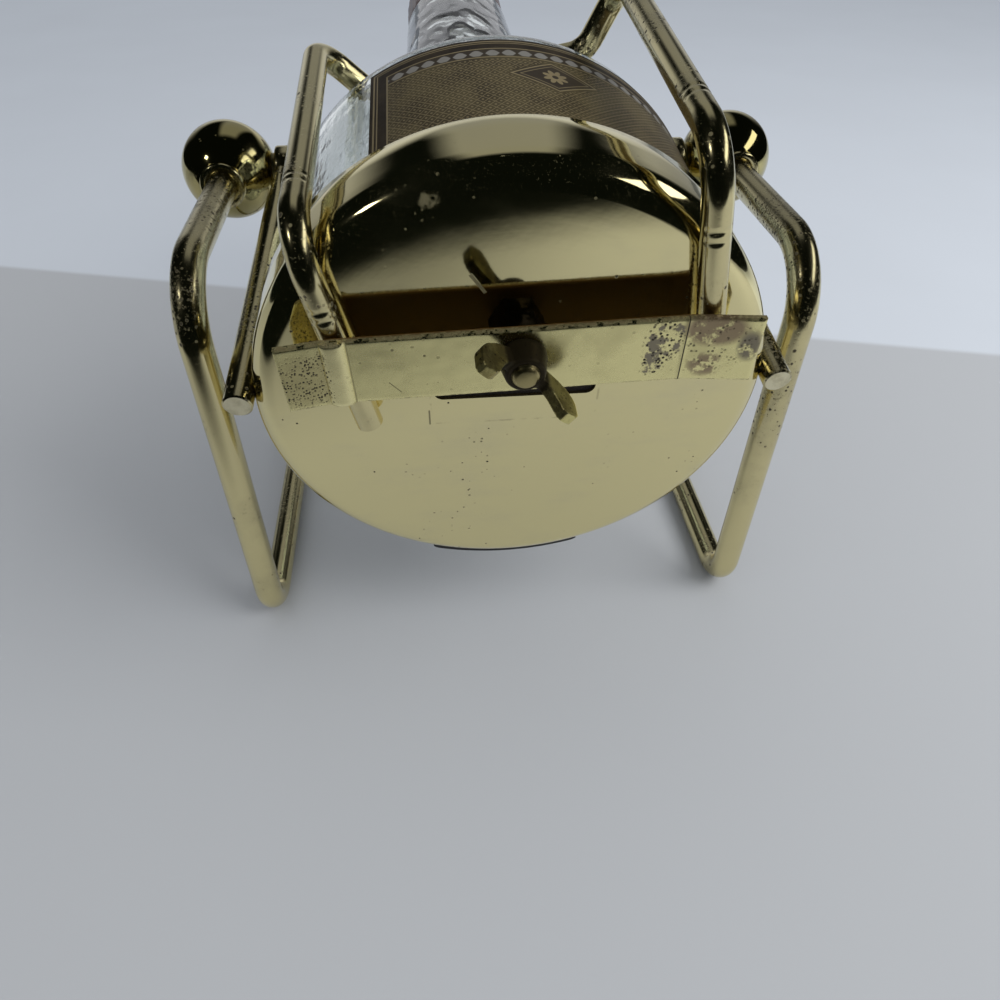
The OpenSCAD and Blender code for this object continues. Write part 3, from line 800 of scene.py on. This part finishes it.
def buildCup():
    c = cup
    r, wall, deep, corner = c["radius"], c["wall"], c["depth"], c["corner"]
    face = [k * c["faceStep"] for k in range(10)]
    outline = [(q, 0) for q in face]
    outline += arcPoints(corner, r - corner, corner, -90, 0, 20)
    outline += [(r, 9), (r, 14), (r, deep - 0.5), (r - 0.18, deep - 0.12), (r - wall / 2, deep),
                (r - wall + 0.18, deep - 0.12), (r - wall, deep - 0.5), (r - wall, 12)]
    outline += arcPoints(corner, r - corner, corner - wall, 0, -90, 14)
    outline += [(q, wall) for q in face[::-1]]
    obj = latheSolid("cupShell", outline, 192)
    cut(obj, slotCutter(), rodCutter(c["boltHole"], c["boltAbove"], -3, 3))
    obj.matrix_world = cradleFrame
    piece(obj, "cradle", "sheet", "brass_sheet", "cup")
    repaint("felt", "felt_disc")


def easedSide(r, a, b):
    # the outer side of a section or a ring, from height a to b
    return [(r - 0.6, a), (r - 0.15, a + 0.2), (r, a + 0.7), (r, b - 0.7), (r - 0.15, b - 0.2), (r - 0.6, b)]


pad = {
    "thick": 3.0,
    "over": 2.0,  # how far it reaches under the cup's corner
    "length": 11.0, "angle": 40.0, "steps": 40,
}


def buildPad():
    # a soft-edged arc under the cup's wall, thinner at its ends
    low, near = cup["radius"] + 0.02, cup["corner"] - pad["over"]
    far = near + pad["length"]
    rings = []
    for i in range(pad["steps"] + 1):
        a = math.radians(-90 - pad["angle"] / 2 + pad["angle"] * i / pad["steps"])
        ease = min(1.0, min(i, pad["steps"] - i) / 2 + 0.35)
        high = cup["radius"] + pad["thick"] * (0.75 + 0.25 * ease)
        section = [(low, near)] + easedSide(high, near, far) + [(low, far)]
        rings.append([(q * math.cos(a), t, q * math.sin(a)) for q, t in section])
    obj = ringSolid("bumperPad", rings, 50, cradleFrame)
    piece(obj, "cradle", "rubber", "black_rubber", "bumper_pad")


arm = {
    "radius": 3.6, "above": 5.2,
    "saddle": 0.35,  # how far the rod sits into the cup's wall
    "eyeAcross": 61.35, "eyeRadius": 6.5, "eyeThick": 4.4, "eyeBore": 2.55,
    "rodBore": 5.1,  # taken out of the rod inside the eye
    "flatFrom": 16.0,  # the rod flattens over this stretch before the eye
    "flatOver": 14.0, "spread": 0.28,
}


def flattened(ring, start, total):
    # squeezes a ring of the rod across, and spreads it upright, near the eye
    mid = sum((Vector(p) for p in ring), Vector()) / len(ring)
    k = max(0.0, min(1.0, ((mid - start).length - (total - arm["flatFrom"])) / arm["flatOver"]))
    k = k * k * (3 - 2 * k)
    squeeze, spread = 1 - k * (1 - arm["eyeThick"] / 2 / arm["radius"]), 1 + arm["spread"] * k
    return [(mid.x + (p[0] - mid.x) * squeeze, p[1], mid.z + (p[2] - mid.z) * spread) for p in ring]


def buildArms():
    # round rods along the cup's wall, each flattened into an eye at the pivot
    c = arm
    reach = cup["radius"] + c["radius"] - c["saddle"]
    across = math.sqrt(reach ** 2 - c["above"] ** 2)
    outer, inner, half = c["eyeRadius"], c["eyeBore"], c["eyeThick"] / 2
    eyeOutline = [(inner, 0.3 - half), (inner + 0.3, -half)] + easedSide(outer, -half, half)
    eyeOutline += [(inner + 0.3, half), (inner, half - 0.3)]
    boreOutline = [(0, -9), (c["rodBore"], -9), (c["rodBore"], 9), (0, 9)]
    for side, tag in sides:
        start = Vector((side * across, 0, c["above"]))
        eye = Vector((side * c["eyeAcross"], cradle["pivotForward"], cradle["pivotAbove"]))
        end = eye - (eye - start).normalized() * (outer - 0.8)
        rings = sweepRings(filletPath([start, end], [0, 0]), c["radius"], 0.45)
        rings = [flattened(ring, start, (end - start).length) for ring in rings]
        rod = ringSolid("sideArm" + tag.title(), rings, 40)
        eyeFrame = shift(*eye) @ spin(90, "Z")
        ring = latheSolid("armEye" + tag.title(), eyeOutline, 72, 50, cradleFrame @ eyeFrame, closed=True)
        # the rod's end is bored out where the pin passes
        cut(rod, latheSolid("boreCutter", boreOutline, 48, at=eyeFrame))
        rod.matrix_world = cradleFrame
        piece(rod, "cradle", "arm", "brass_rod", "side_arm_" + tag)
        sawnFaces(rod, lambda p: p.normal.y < -0.9 and p.center.y < 1 * mm)
        piece(ring, "cradle", "arm", "brass_rod")


buildCup()
buildPad()
buildArms()
print("stage: cup and side arms")


# clamp: bolt, strap and wing nut

strap = {
    "inside": 6.95,  # from the cup's face
    "thick": 1.6, "half": 52.0, "width": 17.2, "drop": 1.3, "roll": 2.0,
    "crease": 35.7, "creaseHalf": 0.55, "creaseTall": 0.22, "ridge": 40.0,
    "ridgeHalf": 2.6, "ridgeTall": 1.15, "flare": 8.0, "flareSoft": 1.2,
    "backFlare": 0.14, "column": 0.4, "rows": 40, "edge": 0.28,
}

boltFrame = cradleFrame @ shift(0, 0, cup["boltAbove"])


def strapFace(x):
    # how far the strap's outer face stands off the cup at x
    c = strap
    out = c["inside"] + c["thick"]
    beyond = x - c["crease"] if x > 0 else -x - c["ridge"]
    if beyond > 0:
        out += math.tan(math.radians(c["flare"])) * (math.hypot(beyond, c["flareSoft"]) - c["flareSoft"])
    left = (x + c["ridge"]) / c["ridgeHalf"]
    if abs(left) < 1:
        out += c["ridgeTall"] * math.sqrt(1 - left * left)
    right = (x - c["crease"]) / c["creaseHalf"]
    if abs(right) < 1:
        out += c["creaseTall"] * (1 - abs(right))
    return out


def eased(near):
    # how far an edge is rounded back: near is 0 at the edge and 1 where the flat begins
    return strap["edge"] * (1 - math.sqrt(max(0.0, 1 - (1 - near) ** 2)))


def buildStrap():
    c = strap
    rows, low = c["rows"], -c["drop"] - c["width"] / 2
    rings = []
    for i in range(int(2 * c["half"] / c["column"]) + 1):
        x = -c["half"] + i * c["column"]
        face = strapFace(x)
        flap = max(0, x - c["crease"], -x - c["ridge"])
        back = min(face - c["thick"], c["inside"] + flap * c["backFlare"])
        outer, inner = [], []
        for j in range(rows + 1):
            z = low + c["width"] * j / rows
            dent = 0.10 * noise.noise((x * 0.06, z * 0.09, 3.1)) + 0.03 * noise.noise((x * 0.35, z * 0.35, 9.2))
            easing = max(eased(min(j, rows - j, 2) / 2), eased(min(1.0, (c["half"] - abs(x)) / 0.8)))
            outer.append((x, -(face - easing + dent), z))
            inner.append((x, -max(c["inside"] + 0.02, back + easing + min(dent, 0.0)), z))
        rings.append(outer + inner[::-1])
    obj = ringSolid("clampStrap", rings, 32)
    cut(obj, rodCutter(cup["boltHole"], 0, -12, 0))
    obj.matrix_world = boltFrame @ spin(-c["roll"], "Y")
    piece(obj, "clamp", "strap", "brass_sheet", "clamp_strap")


bolt = {
    "radius": 3.175, "pitch": 1.27,
    "tip": 16.05,  # from the cup's face
    "threadFrom": 0.5, "threadDepth": 0.42, "headRadius": 7.5, "headTop": 3.6,
}


def buildBolt():
    c = bolt
    r, root, head, tip = c["radius"], c["radius"] - c["threadDepth"], c["headRadius"], -c["tip"]
    outline = [(0, c["headTop"]), (3.2, c["headTop"]), (head - 0.3, 2.5), (head, 2.2), (head, 1.0), (r, 1.0)]
    t = c["threadFrom"]
    while t > tip + 1.3:
        outline += [(r, t), (r, t - 0.16), (root, t - 0.62), (root, t - 0.72)]
        t -= c["pitch"]
    outline += [(r - 0.3, tip + 0.7), (r - 0.7, tip + 0.15), (r - 1.1, tip), (0, tip)]
    obj = latheSolid("clampBolt", outline, 72, 45, boltFrame)
    piece(obj, "cradle", "steel", "plain_steel", "clamp_bolt")
    repaint("lock", "lock_nut")


wingNut = {
    "hubRadius": 5.4, "hubHeight": 6.2, "reach": 13.2, "height": 12.6, "thick": 2.7,
    "angle": 39.0, "bore": 3.23,
    "seat": 0.1,  # off the strap
    "voxel": 0.22, "smooth": 0.6, "passes": 4,
}


def buildWingNut():
    # cast in one: hub and two wings are joined, then softened
    c = wingNut
    hub, tall, reach, top = c["hubRadius"], c["hubHeight"], c["reach"], c["height"]
    outline = [(0, 0), (hub - 0.3, 0), (hub, 0.3), (hub - 0.1, 1.6), (hub - 0.5, 3.6), (hub - 0.95, tall - 0.5),
               (hub - 1.4, tall), (0, tall)]
    parts = [latheSolid("wingHub", [(r, -t) for r, t in outline][::-1], 64)]
    wing = [(1.0, 1.3), (hub + 0.2, 1.7), (9.0, 3.0), (11.6, 4.8), (reach - 0.3, 6.6), (reach, 7.6),
            (reach, top - 1.1), (reach - 0.6, top - 0.1), (9.9, top), (9.0, top - 0.6), (6.9, 8.0), (5.2, 6.2),
            (1.0, 5.6)]
    rings = [[(x, -h, half) for x, h in wing] for half in (c["thick"] / 2, -c["thick"] / 2)]
    for turn in (0, 180):
        parts.append(ringSolid("wingPlate", rings, at=spin(turn, "Y")))
    bpy.context.view_layer.update()
    verts, faces = [], []
    for o in parts:
        base = len(verts)
        verts += [o.matrix_world @ v.co / mm for v in o.data.vertices]
        faces += [tuple(base + i for i in p.vertices) for p in o.data.polygons]
        bpy.data.objects.remove(o)
    obj = solid("wingNut", verts, faces)
    skin = obj.modifiers.new("skin", "REMESH")
    skin.mode = "VOXEL"
    skin.voxel_size = c["voxel"] * mm
    soft = obj.modifiers.new("soft", "SMOOTH")
    soft.factor = c["smooth"]
    soft.iterations = c["passes"]
    bpy.context.view_layer.update()
    evaluated(obj)
    cut(obj, rodCutter(c["bore"], 0, -16, 3))
    seat = strap["inside"] + strap["thick"] + c["seat"]
    obj.matrix_world = boltFrame @ shift(0, -seat, 0) @ spin(c["angle"], "Y")
    piece(obj, "wing_nut", "nut", "dull_brass", "wing_nut")


buildStrap()
buildBolt()
buildWingNut()
print("stage: clamp")


# bail

bail = {
    "rodRadius": 3.175, "halfWidth": 40.6, "legForward": -3.475, "legTip": -14.0,
    "barAbove": 37.1, "crossForward": 86.21, "crossAbove": 21.75,
    "dipAcross": 29.0875, "legBend": 11.0, "crossBend": 8.0, "roll": 11.0,
    "aside": 2.0, "middle": 22.5,
    "legNick": 34.0,  # along the wire, from the leg's tip
    "barNick": 64.0,
    "nickApart": 1.15,  # half the gap between the two nicks of a pair
    "nickHalf": 0.75,
    "nickDepth": 0.05,  # as a share of the radius
}


def bendMarks(run, whole, way):
    # pairs of nicks that the bending tool left on the outside, near each leg's bend
    b = bail
    near = min(run, whole - run)
    deep = 0.0
    for at, out in ((b["legNick"], Vector((0, -1, 0))), (b["barNick"], Vector((0, 0, 1)))):
        facing = max(0.0, (way.dot(out) - 0.35) / 0.65)
        for k in (-b["nickApart"], b["nickApart"]):
            gap = abs(near - at - k) / b["nickHalf"]
            if gap < 1:
                deep = max(deep, b["nickDepth"] * (1 - gap * gap) * math.sqrt(facing))
    return 1 - deep


def buildBail():
    b = bail
    w, y, z = b["halfWidth"], b["legForward"], b["barAbove"]
    far, dipX, dipZ = b["crossForward"], b["dipAcross"], b["crossAbove"]
    path = [(-w, y, b["legTip"]), (-w, y, z), (-w, far, z), (-dipX, far, dipZ),
            (dipX, far, dipZ), (w, far, z), (w, y, z), (w, y, b["legTip"])]
    bends = [0, b["legBend"], b["crossBend"], b["crossBend"]]
    route = filletPath(path, bends + bends[::-1], step=2.0, spacing=0.45)
    rings = sweepRings(route, b["rodRadius"], 0.5, bendMarks)
    place = cradleFrame @ shift(b["aside"], 0, b["middle"]) @ spin(-b["roll"], "Y")
    obj = ringSolid("bailWire", rings, at=place)
    piece(obj, "bail", "bail", "brass_rod", "bail")
    sawnFaces(obj, lambda p: p.normal.z < -0.9 and p.center.z < (b["legTip"] + 1) * mm)


buildBail()
print("stage: bail")


# bottle, label and cap

bottle = {
    "radius": 60.0, "base": 2.52, "bodyTop": 66.0, "shoulder": 16.0,
    "shoulderTurn": 84.0, "throat": 10.0, "neckSlope": 10.9, "taper": 50.0,
    "neckCurve": 150.0, "upperSlope": 2.0, "neckTop": 236.0, "neckStep": 3.0,
    "finish": 19.5, "finishLength": 26.0, "glass": 4.0, "heel": 6.0, "punt": 6.4,
}
lip = bottle["neckTop"] + bottle["finishLength"]


def stepOff(point, angle, reach):
    return point[0] + reach * math.sin(angle), point[1] + reach * math.cos(angle)


def bottleOutline(inset):
    # (radius, height) pairs from the base's middle to the mouth; the points between arcs are (height, radius)
    b = bottle
    r, base = b["radius"] - inset, b["base"] + inset
    foot, top = b["radius"] - 2 * b["heel"], b["neckTop"]
    turn, slope, upper = (math.radians(b[k]) for k in ("shoulderTurn", "neckSlope", "upperSlope"))
    shoulder = (b["bodyTop"], b["radius"] - b["shoulder"])
    throat = stepOff(shoulder, turn, b["shoulder"] + b["throat"])
    taper = stepOff(throat, slope, -b["throat"])
    taperEnd = stepOff(taper, slope + math.pi / 2, b["taper"])
    neck = stepOff(taperEnd, slope, b["neckCurve"])
    neckEnd = stepOff(neck, upper, -b["neckCurve"])
    topR = neckEnd[1] - (top - neckEnd[0]) * math.tan(upper)
    out = [(foot * i / 12, base + b["punt"] * (1 - (i / 12) ** 2)) for i in range(13)]
    out += arcPoints(base + b["heel"], r - b["heel"], b["heel"], -90, 0, 12)
    out += [(r, base + b["heel"] + (b["bodyTop"] - base - b["heel"]) * i / 6) for i in range(1, 6)]
    out += arcPoints(*shoulder, b["shoulder"] - inset, 0, b["shoulderTurn"], 28)
    out += arcPoints(*throat, b["throat"] + inset, 180 + b["shoulderTurn"], 180 + b["neckSlope"], 20)
    out += arcPoints(*neck, b["neckCurve"] + inset, 180 + b["neckSlope"], 180 + b["upperSlope"], 14)
    f = b["finish"] - inset
    if inset:
        return out + [(topR - inset, top - inset), (f, top), (f, lip - 0.6), (f + 0.6, lip)]
    step = top + b["neckStep"]
    return out + [(topR, top - 1.2), (topR - 0.5, top), (f + 0.4, step - 0.4), (f, step),
                  (f, lip - 0.8), (f - 0.8, lip)]


def buildBottle():
    outline = bottleOutline(0) + bottleOutline(bottle["glass"])[::-1]
    obj = latheSolid("bottleGlass", outline, 192, 50, cradleFrame)
    piece(obj, "cradle", "glass", "clear_glass", "bottle")


label = {
    "length": 48.0, "angle": 84.0, "turn": 11.5, "thick": 0.3, "gap": 0.03,
    "belowShoulder": 1.0, "around": 96, "along": 40,
}


def buildLabel():
    # paper bent round the body, with its own print coordinates
    c = label
    outer, inner = bottle["radius"] + c["thick"], bottle["radius"] + c["gap"]
    top = bottle["bodyTop"] - c["belowShoulder"]
    rows = [j / c["along"] for j in range(c["along"] + 1)]
    section = [(outer, v) for v in rows[::-1]] + [(inner, v) for v in rows]
    rings, prints = [], []
    for i in range(c["around"] + 1):
        u = i / c["around"]
        a = math.radians(90 - c["turn"] + c["angle"] * (0.5 - u))
        rings.append([(r * math.cos(a), top - c["length"] * (1 - v), r * math.sin(a)) for r, v in section])
        prints += [(u, v) for r, v in section]
    obj = ringSolid("bottleLabel", rings, at=cradleFrame)
    layer = obj.data.uv_layers.new(name="print")
    for loop in obj.data.loops:
        layer.data[loop.index].uv = prints[loop.vertex_index]
    piece(obj, "cradle", "label", "label_paper", "bottle_label")


cap = {
    "wall": 1.6, "gap": 0.3, "sealThick": 1.0, "sealPlay": 0.04,
    "above": 1.0,  # over the neck's step
    "ribs": 40,
    "ribDepth": 0.010,  # as a share of the radius
}


def buildCap():
    # moulded grip ribs run down its side
    c = cap
    start = bottle["neckTop"] + bottle["neckStep"] + c["above"]
    inR = bottle["finish"] + c["gap"]
    outR = inR + c["wall"]
    under = lip + c["sealThick"] + c["sealPlay"]
    top = under + c["wall"]
    outline = [(inR, start), (outR - 0.3, start), (outR, start + 0.3), (outR, start + 1)]
    outline += [(outR, start + 1.6 + (top - start - 4.2) * i / 8) for i in range(9)]
    outline += [(outR, top - 2), (outR - 0.1, top - 0.9), (outR - 0.5, top - 0.3), (outR - 1.3, top), (0, top),
                (0, under), (inR, under)]

    def ribs(angle, y):
        if y < start + 1.2 or y > top - 2.2:
            return 1.0
        return 1.0 + c["ribDepth"] * (0.5 + 0.5 * math.cos(angle * c["ribs"]))

    obj = latheSolid("bottleCap", outline, c["ribs"] * 8, 40, cradleFrame, closed=True, swell=ribs)
    piece(obj, "cap", "cap", "cap_metal", "bottle_cap")
    repaint("board", "cap_seal")


buildBottle()
buildLabel()
buildCap()
print("stage: bottle")


# floor, room, light and camera

studio = {
    "floorColour": (0.47, 0.485, 0.50), "floorCloud": (0.42, 0.43, 0.45),
    "backColour": (0.62, 0.66, 0.71), "floorSize": 8.0, "edgeAt": 0.137,
    "edgeSlope": 0.265, "worldColour": (0.94, 0.96, 1.0, 1), "worldStrength": 0.62,
}


def plainPlane(name, size, middle=(0, 0, 0)):
    s = size / 2
    corners = [Vector(middle) + Vector(c) for c in ((-s, -s, 0), (s, -s, 0), (s, s, 0), (-s, s, 0))]
    mesh = bpy.data.meshes.new(name)
    mesh.from_pydata(corners, [], [(0, 1, 2, 3)])
    return loose(name, mesh)


def buildFloor():
    # a paler stretch of floor begins beyond a slanting edge
    f = Finish("paleFloor")
    x, y = f.axes()[:2]
    far = (y + x * studio["edgeSlope"]).ramp(studio["edgeAt"] - 0.002, studio["edgeAt"] + 0.004)
    tone = f.mix(far, studio["floorColour"], studio["backColour"])
    f.set(
        Base_Color=f.mix(f.grain(9, 4, 0.5) * 0.15, tone, studio["floorCloud"]),
        Roughness=0.6, Specular_IOR_Level=0.0)
    floor = plainPlane("floor", studio["floorSize"])
    paint(floor, f)


# ramps are in metres on the floor, and in shares of the radius on the screen
room = {
    "dark": (0.003, 0.004, 0.003), "floorSize": 4.0,
    "floorMiddle": (0, -2.1, 0.003), "from": -0.257, "slope": 0.373,
    # haze is the strength of a painted shadow over the near floor's left
    "edge": (-0.024, 0.026), "haze": 0.6, "shadowEdge": (-0.02, 0.09),
    "shadowSide": (-0.03, 0.085), "radius": 1.9, "around": 64, "tiers": 20,
    "wall": 0.6, "wallFrom": (0.25, 0.60), "wallTop": (0.25, 0.50),
    "wallSide": (0.35, 0.75), "ceiling": 0.28, "ceilingFrom": (0.08, 0.32),
    "ceilingLow": (0.15, 0.35), "ceilingSide": (0.16, 0.30), "ceilingAside": 0.05,
}


def onlyMirrored(obj):
    # polished metal mirrors it, and nothing else sees it
    obj.visible_camera = False
    obj.visible_diffuse = False
    obj.visible_shadow = False
    obj.visible_transmission = False


def darkFinish(name, share):
    # near black where share is 1, clear where it is 0
    f = Finish(name)
    clear = f.node("ShaderNodeBsdfTransparent")["BSDF"]
    dark = f.node("ShaderNodeEmission", {"Color": room["dark"], "Strength": 1.0})["Emission"]
    both = f.node("ShaderNodeMixShader", {0: share(f), 1: clear, 2: dark})["Shader"]
    f.tree.links.new(both.socket, f.tree.nodes["Material Output"].inputs["Surface"])
    return f


def beyondTable(f):
    x, y = f.axes()[:2]
    edge = y + x * room["slope"] - room["from"]
    # a softer painted shadow over the near floor's left, seen only in mirrors
    haze = edge.fade(*room["shadowEdge"]) * x.fade(*room["shadowSide"]) * room["haze"]
    return edge.fade(*room["edge"]).high(haze)


def dimRoom(f):
    # all round, but for the pale wall behind the object and a patch of ceiling above it
    x, y, z = (a * (1.0 / room["radius"]) for a in f.axes())
    wall = y.ramp(*room["wallFrom"]) * z.fade(*room["wallTop"]) * x.size().fade(*room["wallSide"])
    aside = (x - room["ceilingAside"]).size()
    ceiling = y.ramp(*room["ceilingFrom"]) * z.ramp(*room["ceilingLow"]) * aside.fade(*room["ceilingSide"])
    return 1.0 - (wall * room["wall"]).high(ceiling * room["ceiling"])


def buildRoom():
    # the dim room round the table: the floor beyond its near edge, and a dome over all
    near = plainPlane("roomFloor", room["floorSize"], room["floorMiddle"])
    paint(near, darkFinish("roomFloor", beyondTable))
    onlyMirrored(near)
    rings = []
    for j in range(room["tiers"] + 1):
        tall = math.radians(89.5 * j / room["tiers"])
        r, z = math.cos(tall) * room["radius"] / mm, math.sin(tall) * room["radius"] / mm
        rings.append([(r * math.sin(a), r * math.cos(a), z) for a in circle(room["around"])])
    screen = ringSolid("roomScreen", rings, capped=False)
    paint(screen, darkFinish("roomScreen", dimRoom))
    onlyMirrored(screen)


lamps = {
    "topBox": {"power": 7.0, "size": (0.7, 0.7), "place": (0.72, -0.44, 0.86), "aim": (0, -0.02, 0.1)},
    "windowRight": {"power": 1.6, "size": (1.1, 0.24), "place": (0.92, -0.26, 0.80), "aim": (0, -0.05, 0.1)},
    "windowLeft": {"power": 0.32, "size": (0.12, 0.12), "place": (-0.72, -0.46, 0.72), "aim": (0, -0.05, 0.1)},
}


def softBox(name):
    c = lamps[name]
    light = bpy.data.lights.new(name, "AREA")
    light.energy = c["power"]
    light.size, light.size_y = c["size"]
    light.shape = "SQUARE" if light.size == light.size_y else "RECTANGLE"
    obj = loose(name, light)
    obj.location = c["place"]
    obj.rotation_euler = (Vector(c["aim"]) - obj.location).to_track_quat("-Z", "Y").to_euler()
    return obj


def buildStudio():
    buildFloor()
    buildRoom()
    world = bpy.data.worlds.new("studioWorld")
    scene.world = world
    world.use_nodes = True
    tree = world.node_tree
    back = tree.nodes["Background"]
    path = tree.nodes.new("ShaderNodeLightPath")
    # the full pale background is seen and mirrored, and a weaker one lights the object
    direct, glossy, through = (
        Val(tree, path.outputs[k]) for k in ("Is Camera Ray", "Is Glossy Ray", "Is Transmission Ray"))
    level = studio["worldStrength"] + (1.0 - studio["worldStrength"]) * direct.high(glossy).high(through)
    back.inputs["Color"].default_value = studio["worldColour"]
    tree.links.new(level.socket, back.inputs["Strength"])
    softBox("topBox").visible_glossy = False
    softBox("windowRight")
    softBox("windowLeft").visible_diffuse = False
    print("stage: floor and light")


camera = {
    "place": (-19.446, -248.073, 205.993), "yaw": 6.03, "pitch": 42.293,
    "roll": -0.748,
    "focal": 758.63,  # in pixels of a picture 1000 wide
    "sensor": 36,
}


def buildCamera():
    c = camera
    yaw, pitch, roll = (math.radians(c[k]) for k in ("yaw", "pitch", "roll"))
    ahead = Vector((math.sin(yaw) * math.cos(pitch), math.cos(yaw) * math.cos(pitch), -math.sin(pitch)))
    level = Vector((math.cos(yaw), -math.sin(yaw), 0))
    below = ahead.cross(level)
    right = level * math.cos(roll) + below * math.sin(roll)
    down = -level * math.sin(roll) + below * math.cos(roll)
    data = bpy.data.cameras.new("camera")
    data.sensor_width = c["sensor"]
    data.lens = c["focal"] * c["sensor"] / 1000
    data.clip_start = 0.01
    data.clip_end = 50
    turn = Matrix((right, -down, -ahead)).transposed()
    scene.camera = loose("camera", data, Matrix.Translation(Vector(c["place"]) * mm) @ turn.to_4x4())
    print("stage: camera")


buildStudio()
buildCamera()
